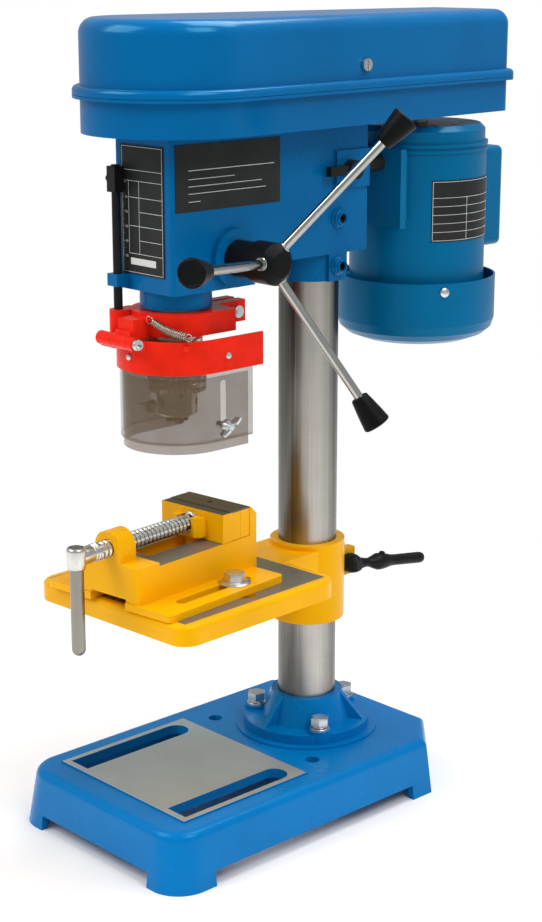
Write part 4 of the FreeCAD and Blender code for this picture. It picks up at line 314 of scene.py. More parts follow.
    def repeated(self, count: int, start: float = 0.0) -> "Form":
        """Copy all there is round the upright, in equal steps.

        Args:
            count: How many there are in the end.
            start: The first one's turn, in degrees.

        Returns:
            This form.
        """
        source = [*self.mesh.verts, *self.mesh.edges, *self.mesh.faces]
        originals = list(self.mesh.verts)
        for index in range(1, count):
            copied = bmesh.ops.duplicate(self.mesh, geom=source)
            verts = [item for item in copied["geom"] if isinstance(item, bmesh.types.BMVert)]
            turn = turned_by(start + 360.0 * index / count)
            bmesh.ops.transform(self.mesh, matrix=turn, verts=verts)
        bmesh.ops.transform(self.mesh, matrix=turned_by(start), verts=originals)
        return self

    def move(self, matrix: Matrix) -> "Form":
        """Move all there is."""
        bmesh.ops.transform(self.mesh, matrix=matrix, verts=list(self.mesh.verts))
        return self

    def add(self, other: "Form", matrix: Matrix | None = None) -> "Form":
        """Add another form, moved, and use it up."""
        if matrix is not None:
            other.move(matrix)
        held = bpy.data.meshes.new("held")
        other.mesh.to_mesh(held)
        other.mesh.free()
        self.mesh.from_mesh(held)
        bpy.data.meshes.remove(held)
        return self

    def make(self, name: str, base: Frame = MACHINE, crease: float = 32.0) -> bpy.types.Object:
        """Turn the form into an object of the machine.

        Args:
            name: The piece's name.
            base: The frame it was measured from.
            crease: Edges sharper than this, in degrees, stay sharp.

        Returns:
            The object, at the origin, with its place in its mesh.
        """
        self.move(Matrix.Scale(MM, 4) @ base.matrix())
        bmesh.ops.remove_doubles(self.mesh, verts=list(self.mesh.verts), dist=2e-7)
        bmesh.ops.recalc_face_normals(self.mesh, faces=list(self.mesh.faces))
        mesh = bpy.data.meshes.new(name)
        self.mesh.to_mesh(mesh)
        self.mesh.free()
        mesh.shade_smooth()
        mesh.set_sharp_from_angle(angle=math.radians(crease))
        piece = bpy.data.objects.new(name, mesh)
        bpy.context.scene.collection.objects.link(piece)
        return piece


# ------------------------------------------------------------------ shader sheets
def srgb(red: float, green: float, blue: float) -> Colour:
    """A colour of 0 to 255 as the light it stands for."""
    parts = [part / 255 for part in (red, green, blue)]
    made = [part / 12.92 if part <= 0.04045 else ((part + 0.055) / 1.055) ** 2.4 for part in parts]
    return made[0], made[1], made[2]


def shade(colour: Colour, factor: float) -> Colour:
    """A colour made lighter or darker."""
    return tuple(min(1.0, part * factor) for part in colour)


def operator(operation: str, swap: bool = False) -> Callable[["Wire", "Wire | float"], "Wire"]:
    """An operator of wires that adds a Math node."""

    def apply(self: "Wire", other: "Wire | float") -> "Wire":
        """Apply the node."""
        return self.math(operation, other, swap)

    return apply


class Wire:
    """The value of a shader socket, with arithmetic."""

    def __init__(self, sheet: "Sheet", socket: bpy.types.NodeSocket) -> None:
        """Wrap an output socket of a sheet."""
        self.sheet = sheet
        self.socket = socket

    def math(
        self, operation: str, other: "Wire | float" = 0.0, swap: bool = False, clamp: bool = False
    ) -> "Wire":
        """Apply a Math node.

        Args:
            operation: The node's operation.
            other: The second value.
            swap: Whether the other value comes first.
            clamp: Whether the result is held between 0 and 1.

        Returns:
            The result.
        """
        first, second = (other, self) if swap else (self, other)
        settings = {"operation": operation, "use_clamp": clamp}
        return self.sheet.add("ShaderNodeMath", settings, {0: first, 1: second})

    __add__ = operator("ADD")
    __radd__ = operator("ADD", swap=True)
    __sub__ = operator("SUBTRACT")
    __rsub__ = operator("SUBTRACT", swap=True)
    __mul__ = operator("MULTIPLY")
    __rmul__ = operator("MULTIPLY", swap=True)
    __truediv__ = operator("DIVIDE")

    def above(self, limit: float, soft: float) -> "Wire":
        """1 above a limit and 0 below it, with a soft step."""
        return ((self - limit) / soft).math("ADD", 0.5, clamp=True)

    def below(self, limit: float, soft: float) -> "Wire":
        """1 below a limit and 0 above it, with a soft step."""
        return ((limit - self) / soft).math("ADD", 0.5, clamp=True)


class Sheet:
    """The node tree of a material or of the world."""

    def __init__(self, owner: bpy.types.Material | bpy.types.World) -> None:
        """Start with an empty tree."""
        owner.use_nodes = True
        self.owner = owner
        self.tree = owner.node_tree
        self.tree.nodes.clear()

    @classmethod
    def of(cls, name: str) -> "Sheet":
        """The empty sheet of a new material."""
        return cls(bpy.data.materials.new(name))

    def add(
        self,
        kind: str,
        settings: dict[str, Any] | None = None,
        inputs: dict[Any, Any] | None = None,
        out: str | int = 0,
    ) -> Wire:
        """Add a node.

        Args:
            kind: The node's type.
            settings: Its settings.
            inputs: Values or wires by socket number, name or identifier.
            out: The output that is wanted.

        Returns:
            The output.
        """
        node = self.tree.nodes.new(kind)
        for key, value in (settings or {}).items():
            setattr(node, key, value)
        for key, value in (inputs or {}).items():
            socket = self.socket(node.inputs, key)
            if isinstance(value, Wire):
                self.tree.links.new(value.socket, socket)
            elif isinstance(value, tuple) and socket.type == "RGBA" and len(value) == 3:
                socket.default_value = (*value, 1.0)
            else:
                socket.default_value = value
        return Wire(self, self.socket(node.outputs, out))

    @staticmethod
    def socket(sockets: Any, key: str | int) -> bpy.types.NodeSocket:
        """A socket by its number, identifier or name."""
        if isinstance(key, int):
            return sockets[key]
        for socket in sockets:
            if socket.identifier == key:
                return socket
        return sockets[key]

    def local(self, base: Frame) -> Wire:
        """Object coordinates in millimetres from a frame of the machine."""
        place = self.add("ShaderNodeTexCoord", out="Object")
        return self.add(
            "ShaderNodeMapping",
            {"vector_type": "TEXTURE"},
            {
                "Vector": place,
                "Location": tuple(part * MM for part in base.origin),
                "Rotation": (0.0, 0.0, math.radians(base.turn)),
                "Scale": (MM, MM, MM),
            },
        )

    def split(self, vector: Wire) -> tuple[Wire, Wire, Wire]:
        """The three parts of a vector."""
        first = self.add("ShaderNodeSeparateXYZ", inputs={0: vector})
        node = first.socket.node
        return first, Wire(self, node.outputs[1]), Wire(self, node.outputs[2])

    def facing(self) -> tuple[Wire, Wire, Wire]:
        """The three parts of the surface's own direction."""
        return self.split(self.add("ShaderNodeTexCoord", out="Normal"))

    def stretched(self, vector: Wire, x: float, y: float, z: float) -> Wire:
        """A vector scaled along each axis."""
        return self.add("ShaderNodeVectorMath", {"operation": "MULTIPLY"}, {0: vector, 1: (x, y, z)})

    def noise(self, vector: Wire, scale: float, detail: float, rough: float = 0.5) -> Wire:
        """Cloudy noise from about 0 to 1."""
        inputs = {"Vector": vector, "Scale": scale, "Detail": detail, "Roughness": rough}
        return self.add("ShaderNodeTexNoise", inputs=inputs)

    def cells(self, vector: Wire, scale: float) -> Wire:
        """Distance to the nearest grain."""
        inputs = {"Vector": vector, "Scale": scale}
        return self.add("ShaderNodeTexVoronoi", {"feature": "F1"}, inputs, "Distance")

    def mix(self, first: Any, second: Any, factor: Wire | float) -> Wire:
        """A colour between two."""
        return self.add(
            "ShaderNodeMix",
            {"data_type": "RGBA", "clamp_factor": True},
            {"Factor_Float": factor, "A_Color": first, "B_Color": second},
            "Result_Color",
        )

    def shades(self, colour: Colour, low: float, high: float, factor: Wire | float) -> Wire:
        """A colour between two shades of one."""
        return self.mix(shade(colour, low), shade(colour, high), factor)

    def blend(self, first: Wire | float, second: Wire | float, factor: Wire) -> Wire:
        """A number between two."""
        return factor * second + (1 - factor) * first

    def bump(self, height: Wire, distance: float) -> Wire:
        """A surface direction from a height in millimetres."""
        inputs = {"Height": height, "Distance": distance * MM, "Strength": 1.0}
        return self.add("ShaderNodeBump", inputs=inputs, out="Normal")

    def surface(self, **inputs: Any) -> bpy.types.Material:
        """Finish the material with a Principled shader.

        Args:
            inputs: Sockets by their name, with _ for a space.

        Returns:
            The material.
        """
        named = {key.replace("_", " "): value for key, value in inputs.items()}
        shader = self.add("ShaderNodeBsdfPrincipled", inputs=named, out="BSDF")
        self.add_output(shader, "ShaderNodeOutputMaterial")
        return self.owner

    def add_output(self, shader: Wire, kind: str) -> None:
        """Link a shader to an output node of a kind."""
        node = self.tree.nodes.new(kind)
        self.tree.links.new(shader.socket, node.inputs["Surface"])


# ------------------------------------------------------------------ finishes
@dataclass(frozen=True)
class Finish:
    """A finish of the machine.

    Args:
        name: Its name.
        slot: The record's material slot; not used.
    """

    name: str
    slot: str

    def material(self) -> bpy.types.Material:
        """The finish's material, made once."""
        found = bpy.data.materials.get(self.name)
        return found or self.mixed(Sheet.of(self.name))

    def mixed(self, sheet: Sheet) -> bpy.types.Material:
        """Mix the finish on a sheet."""
        raise NotImplementedError


@dataclass(frozen=True)
class Enamel(Finish):
    """Glossy sprayed enamel on a casting or on sheet metal.

    Args:
        colour: Its colour.
        cast: Height of the casting's grain under it, in millimetres.
        roughness: How matt it is.
        base: The frame that its patterns are measured from.
        shine: Its specular level.
        glint: Colour of its highlights.
    """

    colour: Colour = (0.0, 0.1, 0.3)
    cast: float = 0.02
    roughness: float = 0.26
    base: Frame = MACHINE
    shine: float = 0.3
    glint: Colour = (0.22, 0.8, 1.0)

    def tone(self, sheet: Sheet, place: Wire) -> Wire:
        """The enamel's colour with its slow drift."""
        drift = sheet.noise(place, 0.012, 2.0)
        flecks = sheet.noise(place, 0.9, 2.0, 0.6).above(0.72, 0.12)
        tone = sheet.shades(self.colour, 0.90, 1.12, drift.above(0.5, 0.5))
        return sheet.mix(tone, shade(self.colour, 0.8), flecks * 0.25)

    def relief(self, sheet: Sheet, place: Wire) -> Wire:
        """Height of the orange peel and of the casting below it."""
        peel = sheet.noise(place, 0.55, 2.0, 0.55)
        grain = sheet.noise(place, 0.16, 3.0, 0.6)
        return peel * 0.006 + grain * self.cast

    def gloss(self, sheet: Sheet, place: Wire) -> Wire:
        """The enamel's roughness."""
        return sheet.noise(place, 0.05, 3.0) * 0.10 + (self.roughness - 0.05)

    def mixed(self, sheet: Sheet) -> bpy.types.Material:
        """Mix the enamel."""
        place = sheet.local(self.base)
        return sheet.surface(
            Base_Color=self.tone(sheet, place),
            Roughness=self.gloss(sheet, place),
            Metallic=0.0,
            Specular_IOR_Level=self.shine,
            Specular_Tint=self.glint,
            Normal=sheet.bump(self.relief(sheet, place), 1.0),
        )


@dataclass(frozen=True)
class Patch:
    """A box of the surface that was ground bare after painting.

    Args:
        low: Its lowest corner, from the finish's frame.
        high: Its highest corner.
        up: Whether only faces that look up are bare.
        dark: Whether the metal is a dark one.
    """

    low: Point
    high: Point
    up: bool = True
    dark: bool = False


@dataclass(frozen=True)
class GroundEnamel(Enamel):
    """Enamel with ground bare faces.

    Args:
        patches: The bare faces.
        metal: The bare metal's colour.
        soft: Width of the edge between paint and metal.
    """

    patches: tuple[Patch, ...] = ()
    metal: Colour = srgb(150, 150, 146)
    soft: float = 0.3

    def bare(self, sheet: Sheet, place: Wire) -> tuple[Wire, Wire]:
        """Where the metal is bare, and where it is dark."""
        parts = sheet.split(place)
        facing = sheet.facing()[2].above(0.8, 0.1)
        bare: Wire | None = None
        dark: Wire | None = None
        for patch in self.patches:
            mask: Wire | None = None
            for part, low, high in zip(parts, patch.low, patch.high):
                step = part.above(low, self.soft) * part.below(high, self.soft)
                mask = step if mask is None else mask * step
            mask = mask * facing if patch.up else mask
            bare = mask if bare is None else bare.math("MAXIMUM", mask)
            if patch.dark:
                dark = mask if dark is None else dark.math("MAXIMUM", mask)
        return bare, dark if dark is not None else bare * 0.0

    def mixed(self, sheet: Sheet) -> bpy.types.Material:
        """Mix the enamel and the bare metal."""
        place = sheet.local(self.base)
        bare, dark = self.bare(sheet, place)
        strokes = sheet.noise(sheet.stretched(place, 2.6, 0.05, 0.05), 1.0, 3.0, 0.6)
        stains = sheet.noise(place, 0.045, 4.0, 0.6)
        metal = sheet.shades(self.metal, 0.72, 1.12, strokes * 0.55 + stains * 0.45)
        metal = sheet.mix(metal, shade(self.metal, 0.45), dark)
        tone = sheet.mix(self.tone(sheet, place), metal, bare)
        paint_gloss = self.gloss(sheet, place)
        metal_gloss = strokes * 0.16 + 0.34
        height = sheet.blend(self.relief(sheet, place), strokes * 0.02, bare)
        return sheet.surface(
            Base_Color=tone,
            Roughness=sheet.blend(paint_gloss, metal_gloss, bare),
            Metallic=bare * 0.75,
            Specular_IOR_Level=self.shine,
            Specular_Tint=self.glint,
            Normal=sheet.bump(height, 1.0),
        )


@dataclass(frozen=True)
class Steel(Finish):
    """Bare or plated steel with marks of turning or grinding.

    Args:
        colour: Its colour.
        roughness: How matt it is.
        marks: How fine the marks are along each axis, per millimetre.
        depth: Depth of the marks, in millimetres.
        stain: How strong its stains are.
        base: The frame that its marks are measured from.
        under: How bright its undersides are, as painted shade on faces that look down.
    """

    colour: Colour = (0.5, 0.5, 0.5)
    roughness: float = 0.3
    marks: Point = (0.05, 0.05, 4.0)
    depth: float = 0.006
    stain: float = 0.3
    base: Frame = MACHINE
    under: float = 0.8

    def tone(self, sheet: Sheet, place: Wire, lines: Wire, clouds: Wire) -> Wire:
        """The steel's colour with its marks and stains, and painted shade on its undersides."""
        worn = clouds.above(0.5, 0.5) * self.stain
        tone = sheet.shades(self.colour, 1.08, 0.86, lines)
        tone = sheet.mix(tone, shade(self.colour, 0.62), worn)
        # painted shade: faces that look down are darkened, standing in for the darker floor they mirror
        return sheet.mix(tone, shade(self.colour, self.under), sheet.facing()[2].below(-0.25, 0.9))

    def mixed(self, sheet: Sheet) -> bpy.types.Material:
        """Mix the steel."""
        place = sheet.local(self.base)
        lines = sheet.noise(sheet.stretched(place, *self.marks), 1.0, 3.0, 0.6)
        clouds = sheet.noise(place, 0.08, 4.0, 0.6)
        return sheet.surface(
            Base_Color=self.tone(sheet, place, lines, clouds),
            Metallic=1.0,
            Roughness=lines * 0.12 + clouds * 0.10 + (self.roughness - 0.11),
            Normal=sheet.bump(lines, self.depth),
        )


@dataclass(frozen=True)
class RoundSteel(Steel):
    """A ground steel tube with wide darker stripes round it as painted reflections, and lighter streaks
    along it from its grinding.

    Args:
        stripes: Number of wide painted reflection stripes round the tube.
        first: Turn of the first painted reflection stripe, in degrees.
        darkest: Brightness of the darkest painted reflection stripe.
        darkened: Height above which the stripes are darker, as painted shade from the head and motor.
    """

    stripes: float = 2.0
    first: float = -34.0
    darkest: float = 0.06
    darkened: float = 300.0

    def tone(self, sheet: Sheet, place: Wire, lines: Wire, clouds: Wire) -> Wire:
        """The steel's colour with its painted reflection stripes, darker high up as painted shade."""
        x, y, height = sheet.split(place)
        turn = y.math("ARCTAN2", x)
        # painted reflection: wide darker stripes round the tube stand in for dark surroundings mirrored in
        # it
        reflection_band = (turn * self.stripes + math.radians(self.first)).math("SINE") * 0.5 + 0.5
        # painted shade: the stripes grow darker high up the column, where the head and motor shade it
        upper_shade = height.above(self.darkened, 160.0)
        fine = sheet.noise(sheet.stretched(place, 0.35, 0.35, 0.004), 1.0, 3.0, 0.7)
        tone = super().tone(sheet, place, lines, clouds)
        tone = sheet.mix(tone, shade(self.colour, self.darkest), reflection_band.above(0.25, 0.5) * (upper_shade * 0.2 + 0.7))
        return sheet.mix(tone, shade(self.colour, 1.3), fine.above(0.6, 0.3) * (reflection_band * -0.25 + 0.35))


@dataclass(frozen=True)
class ZincPlate(Finish):
    """Bright zinc plating with its mottled crystals.

    Args:
        colour: Its colour.
        roughness: How matt it is.
    """

    colour: Colour = srgb(222, 226, 228)
    roughness: float = 0.34

    def mixed(self, sheet: Sheet) -> bpy.types.Material:
        """Mix the plating."""
        place = sheet.local(MACHINE)
        crystals = sheet.cells(place, 0.8)
        clouds = sheet.noise(place, 0.35, 3.0)
        tone = sheet.shades(self.colour, 0.68, 1.08, crystals * 0.4 + clouds * 0.6)
        return sheet.surface(
            Base_Color=tone,
            Metallic=1.0,
            Roughness=clouds * 0.2 + (self.roughness - 0.1),
            Normal=sheet.bump(clouds + crystals * 0.3, 0.012),
        )


@dataclass(frozen=True)
class Moulded(Finish):
    """Moulded plastic with a fine grain.

    Args:
        colour: Its colour.
        roughness: How matt it is.
        grain: Height of its grain, in millimetres.
        coat: Weight of a gloss on it.
        shine: Its specular level.
        glint: Tint of its reflections.
    """

    colour: Colour = (0.02, 0.02, 0.02)
    roughness: float = 0.4
    grain: float = 0.012
    coat: float = 0.0
    shine: float = 0.3
    glint: Colour = (0.4, 0.4, 0.42)

    def mixed(self, sheet: Sheet) -> bpy.types.Material:
        """Mix the plastic."""
        place = sheet.local(MACHINE)
        grain = sheet.noise(place, 1.6, 2.0, 0.6)
        clouds = sheet.noise(place, 0.06, 3.0)
        tone = sheet.shades(self.colour, 0.86, 1.18, clouds.above(0.5, 0.6))
        return sheet.surface(
            Base_Color=tone,
            Roughness=clouds * 0.12 + grain * 0.06 + (self.roughness - 0.09),
            Specular_IOR_Level=self.shine,
            Specular_Tint=self.glint,
            Coat_Weight=self.coat,
            Coat_Roughness=0.1,
            Normal=sheet.bump(grain, self.grain),
        )


@dataclass(frozen=True)
class Smoked(Finish):
    """Smoked see-through plastic with faint scratches and dust.

    Args:
        colour: Its colour.
        clear: How much it lets through.
        rim: Height below which its polished rim starts.
    """

    colour: Colour = srgb(104, 82, 56)
    clear: float = 0.66
    rim: float = 312.2

    def mixed(self, sheet: Sheet) -> bpy.types.Material:
        """Mix the plastic."""
        place = sheet.local(SPINDLE)
        scratches = sheet.noise(sheet.stretched(place, 0.3, 0.3, 2.5), 1.0, 4.0, 0.7)
        dust = sheet.noise(place, 0.05, 3.0)
        height = sheet.split(place)[2]
        rim = height.below(self.rim, 1.6)
        veil = (dust - 0.5) * 0.10 + scratches.above(0.68, 0.1) * 0.05
        worn = scratches.above(0.66, 0.1) * 0.5 + rim * 0.4
        return sheet.surface(
            Base_Color=sheet.mix(self.colour, shade(self.colour, 1.6), worn),
            Roughness=scratches * 0.12 + 0.04,
            Alpha=veil + rim * 0.15 + (1 - self.clear),
            Specular_IOR_Level=0.3,
            Coat_Weight=0.2,
            Coat_Roughness=0.05,
            Normal=sheet.bump(scratches, 0.004),
        )


@dataclass(frozen=True)
class BlackPlate(Finish):
    """A black enamelled plate with fine scuffs."""

    def mixed(self, sheet: Sheet) -> bpy.types.Material:
        """Mix the plate's black."""
        place = sheet.local(MACHINE)
        scuffs = sheet.noise(sheet.stretched(place, 0.4, 0.4, 1.6), 1.0, 4.0, 0.7)
        clouds = sheet.noise(place, 0.05, 3.0)
        worn = clouds.above(0.5, 0.5) * 0.7 + scuffs.above(0.66, 0.1) * 0.3
        tone = sheet.mix(srgb(30, 33, 31), srgb(44, 46, 44), worn)
        return sheet.surface(
            Base_Color=tone,
            Roughness=clouds * 0.14 + scuffs * 0.1 + 0.26,
            Specular_IOR_Level=0.22,
            Normal=sheet.bump(scuffs, 0.004),
        )


@dataclass(frozen=True)
class Ink(Finish):
    """Printing ink on a plate, a little worn.

    Args:
        colour: Its colour.
    """

    colour: Colour = srgb(206, 208, 204)

    def mixed(self, sheet: Sheet) -> bpy.types.Material:
        """Mix the ink."""
        place = sheet.local(MACHINE)
        worn = sheet.noise(place, 0.7, 4.0, 0.7).above(0.62, 0.25)
        tone = sheet.mix(self.colour, shade(self.colour, 0.55), worn * 0.6)
        return sheet.surface(Base_Color=tone, Roughness=worn * 0.1 + 0.45)


@dataclass(frozen=True)
class Aluminium(Finish):
    """Cast aluminium with turned faces.

    Args:
        base: The axis it is turned about.
    """

    base: Frame = MACHINE

    def mixed(self, sheet: Sheet) -> bpy.types.Material:
        """Mix the aluminium."""
        place = sheet.local(self.base)
        x, y, _ = sheet.split(place)
        radius = (x * x + y * y).math("SQRT")
        inputs = {"W": radius, "Scale": 2.4, "Detail": 3.0}
        rings = sheet.add("ShaderNodeTexNoise", {"noise_dimensions": "1D"}, inputs)
        clouds = sheet.noise(place, 0.2, 4.0, 0.6)
        tone = sheet.mix(srgb(150, 152, 152), srgb(196, 198, 198), rings * 0.6 + clouds * 0.4)
        relief = sheet.bump(rings + clouds * 0.4, 0.02)
        return sheet.surface(Base_Color=tone, Metallic=1.0, Roughness=clouds * 0.2 + 0.3, Normal=relief)


@dataclass(frozen=True)
class Rubber(Finish):
    """Black belt rubber with a woven jacket."""

    def mixed(self, sheet: Sheet) -> bpy.types.Material:
        """Mix the rubber."""
        place = sheet.local(MACHINE)
        weave = sheet.cells(place, 1.2)
        clouds = sheet.noise(place, 0.1, 3.0)
        tone = sheet.mix(srgb(26, 26, 27), srgb(52, 52, 52), weave * 0.5 + clouds * 0.4)
        return sheet.surface(Base_Color=tone, Roughness=weave * 0.1 + 0.66, Normal=sheet.bump(weave, 0.06))


@dataclass(frozen=True)
class Windings(Finish):
    """A laminated iron core with lacquered copper at its ends.

    Args:
        low: Height of the core's lower end.
        high: Height of its upper end.
    """

    low: float = 424.0
    high: float = 476.0

    def mixed(self, sheet: Sheet) -> bpy.types.Material:
        """Mix the iron and the copper."""
        place = sheet.local(MOTOR)
        height = sheet.split(place)[2]
        sheets = sheet.noise(sheet.stretched(place, 0.02, 0.02, 3.0), 1.0, 1.0)
        ends = height.below(self.low, 0.6).math("MAXIMUM", height.above(self.high, 0.6))
        wires = sheet.noise(sheet.stretched(place, 0.5, 0.5, 2.0), 1.0, 2.0)
        tone = sheet.mix(srgb(96, 98, 100), sheet.mix(srgb(120, 62, 30), srgb(184, 104, 54), wires), ends)
        return sheet.surface(
            Base_Color=tone,
            Metallic=0.8,
            Roughness=wires * 0.2 + 0.35,
            Normal=sheet.bump(sheets + wires, 0.05),
        )


BASE_BLUE = srgb(0, 112, 182)
HEAD_BLUE = srgb(0, 92, 148)
MOTOR_BLUE = srgb(0, 96, 142)
YELLOW = srgb(238, 172, 2)
WARM = (1.0, 0.75, 0.12)

HEAD_PAINT = Enamel("head_enamel", "head_paint", HEAD_BLUE, 0.010)
COVER_PAINT = Enamel("cover_enamel", "cover_paint", srgb(0, 93, 150), 0.002, 0.2, shine=0.4)
MOTOR_PAINT = Enamel("motor_enamel", "motor_paint", MOTOR_BLUE, 0.006, 0.3)
# The slide rods' region is bare metal painted very dark: partly their own dark steel, partly painted shade
# where they sit in the shadow between head and bracket.
BRACKET_PAINT = GroundEnamel(
    "bracket_enamel", "motor_paint", MOTOR_BLUE, 0.01, 0.32, base=COLUMN,
    patches=(Patch((-30.0, -30.0, 480.0), (30.0, 57.8, 508.0), up=False, dark=True),),
    metal=srgb(96, 92, 84),
)
FLANGE_PAINT = Enamel("flange_enamel", "base_paint", BASE_BLUE, 0.02)
BASE_PAINT = GroundEnamel(
    "base_enamel", "base_paint", BASE_BLUE, 0.02, base=COLUMN,
    patches=(Patch((-72.2, -193.1, 45.5), (72.2, -70.1, 46.0)),), metal=srgb(208, 211, 208),
)
TABLE_PAINT = GroundEnamel(
    "table_enamel", "cast_paint", YELLOW, 0.05, 0.3, base=TABLE, glint=WARM,
    patches=(Patch((-73.0, -203.4, 200.3), (73.0, -60.0, 201.0)),), metal=srgb(150, 150, 142),
)
VISE_PAINT = GroundEnamel(
    "vise_enamel", "cast_paint", YELLOW, 0.06, 0.32, base=VISE, glint=WARM,
    patches=(
        Patch((-30.4, -39.5, 29.7), (30.4, 66.0, 30.6)),
        Patch((-30.4, 28.6, 51.2), (30.4, 70.0, 53.0), up=False, dark=True),
    ),
    metal=srgb(150, 148, 140),
)
JAW_PLATES = GroundEnamel(
    "jaw_plate_enamel", "cast_paint", YELLOW, 0.06, 0.32, base=VISE, glint=WARM,
    patches=(Patch((-40.0, -60.0, 51.2), (40.0, 70.0, 53.2), up=False, dark=True),),
    metal=srgb(150, 148, 140),
)
COLUMN_STEEL = RoundSteel(
    "column_steel", "ground_steel", srgb(188, 184, 177), 0.34, (0.02, 0.02, 3.0), 0.004, 0.2, COLUMN
)
CHUCK_STEEL = Steel("chuck_steel", "ground_steel", srgb(240, 236, 226), 0.3, under=0.9)
BRIGHT_STEEL = Steel("bright_steel", "ground_steel", srgb(188, 183, 172), 0.3, under=0.6)
CHROME = Steel("chrome", "bright", srgb(208, 208, 203), 0.14, (0.4, 0.4, 0.4), 0.002, 0.08, under=0.45)
DARK_STEEL = Steel("oiled_steel", "dark_steel", srgb(60, 60, 60), 0.42, (0.4, 0.4, 0.4), 0.006, 0.3)
THREAD_STEEL = Steel(
    "thread_steel", "bright", srgb(236, 234, 228), 0.26, (0.4, 0.4, 0.4), 0.002, 0.08, under=0.5
)
HANDLE_STEEL = Steel("handle_steel", "bright", srgb(156, 151, 141), 0.32, (0.05, 0.05, 1.4), 0.004, 0.2)
BLACKED = Moulded("blacked_steel", "black_plate", srgb(26, 26, 26), 0.36, 0.006, shine=0.3)
ZINC = ZincPlate("zinc_plate", "zinc")
SPRING_STEEL = Steel(
    "spring_steel", "zinc", srgb(196, 188, 172), 0.3, (0.6, 0.6, 0.6), 0.002, 0.2, under=0.5
)
BLACK_PLASTIC = Moulded("moulded_black", "black_plastic", srgb(16, 17, 17), 0.42, 0.012, 0.0, 0.16)
RED_PLASTIC = Moulded(
    "moulded_red", "red_plastic", srgb(230, 38, 20), 0.28, 0.004, 0.03, 0.2, (1.0, 0.2, 0.14)
)
GREEN_PLASTIC = Moulded("green_plastic", "green_button", srgb(20, 132, 58), 0.35, 0.006, 0.2)
STOP_PLASTIC = Moulded("stop_plastic", "red_button", srgb(196, 26, 22), 0.35, 0.006, 0.2)
SMOKED = Smoked("smoked_plastic", "clear_plastic")
PLATE_BLACK = BlackPlate("plate_black", "black_plate")
INK = Ink("pale_ink", "black_plate")
PULLEY_METAL = Aluminium("spindle_pulley_metal", "pulley_metal", SPINDLE)
MOTOR_PULLEY_METAL = Aluminium("motor_pulley_metal", "pulley_metal", MOTOR)
BELT_RUBBER = Rubber("ribbed_rubber", "belt_rubber")
WINDINGS = Windings("windings", "copper_iron")


# ------------------------------------------------------------------ sub-assemblies
@dataclass
class SubAssembly:
    """Sub-parts that belong together, with their finishes and fine pieces.

    Args:
        made: The fine pieces made so far.
    """

    finishes: ClassVar[dict[str, Finish]] = {}
    made: list[bpy.types.Object] = field(default_factory=list)

    def build(self) -> None:
        """Make the fine pieces; most sub-assemblies have their own."""

    def dress(self) -> None:
        """Give every sub-part its finish."""
        for name, finish in self.finishes.items():
            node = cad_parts[name]
            material = finish.material()
            if not node.material_slots:
                node.data.materials.append(material)
            for slot in node.material_slots:
                slot.material = material
            LOG.info("sub-part %s: %s", name, finish.name)

    def piece(
        self,
        form: Form,
        name: str,
        body: str,
        finish: Finish,
        base: Frame,
        stands_for: Sequence[str] = (),
        crease: float = 32.0,
    ) -> bpy.types.Object:
        """Make a fine piece and seat it on its body.

        Args:
            form: Its shape.
            name: Its name.
            body: The body that it moves with.
            finish: Its finish.
            base: The frame it was measured from.
            stands_for: Sub-parts that it stands for.
            crease: Edges sharper than this, in degrees, stay sharp.

        Returns:
            The object.
        """
        made = form.make(name, base, crease)
        made.data.materials.append(finish.material())
        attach(made, body)
        if stands_for:
            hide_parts(*stands_for)
        self.made.append(made)
        LOG.info("piece %s on %s: %s", name, body, finish.name)
        return made


@dataclass
class Base(SubAssembly):
    """The base casting, the column's flange and the column.

    Args:
        bolt_circle: Radius of the circle of the flange bolts.
        bolt_seat: Height of the bolts' seats.
        bolt_flats: Width of the bolt heads.
    """

    bolt_circle: float = 42.4
    bolt_seat: float = 56.5
    bolt_flats: float = 13.0

    finishes: ClassVar[dict[str, Finish]] = {
        "base_casting": BASE_PAINT,
        "column_flange": FLANGE_PAINT,
        "flange_bolts": ZINC,
        "column_tube": COLUMN_STEEL,
    }

    def build(self) -> None:
        """Make the flange bolts."""
        form = Form()
        seat, middle = self.bolt_seat, (self.bolt_circle, 0.0)
        form.turned([(4.2, 0), (7.8, 0), (7.8, 1.2), (7.5, 1.5), (4.2, 1.5)], (*middle, seat))
        form.add(Form().ring(5.1, 1.1, Matrix.Translation((*middle, seat + 2.6)), 40, 8))
        form.hexagon(self.bolt_flats, 6.2, (*middle, seat + 3.7), chamfer=0.7, spin=12)
        form.turned([(0, 0), (5.6, 0), (5.6, 0.35), (0, 0.45)], (*middle, seat + 9.8))
        form.rod(4.0, -12, 4, (*middle, seat), sides=32)
        form.repeated(3, start=-30)
        self.piece(form, "flange_bolt_set", "stand", ZINC, COLUMN, ["flange_bolts"])


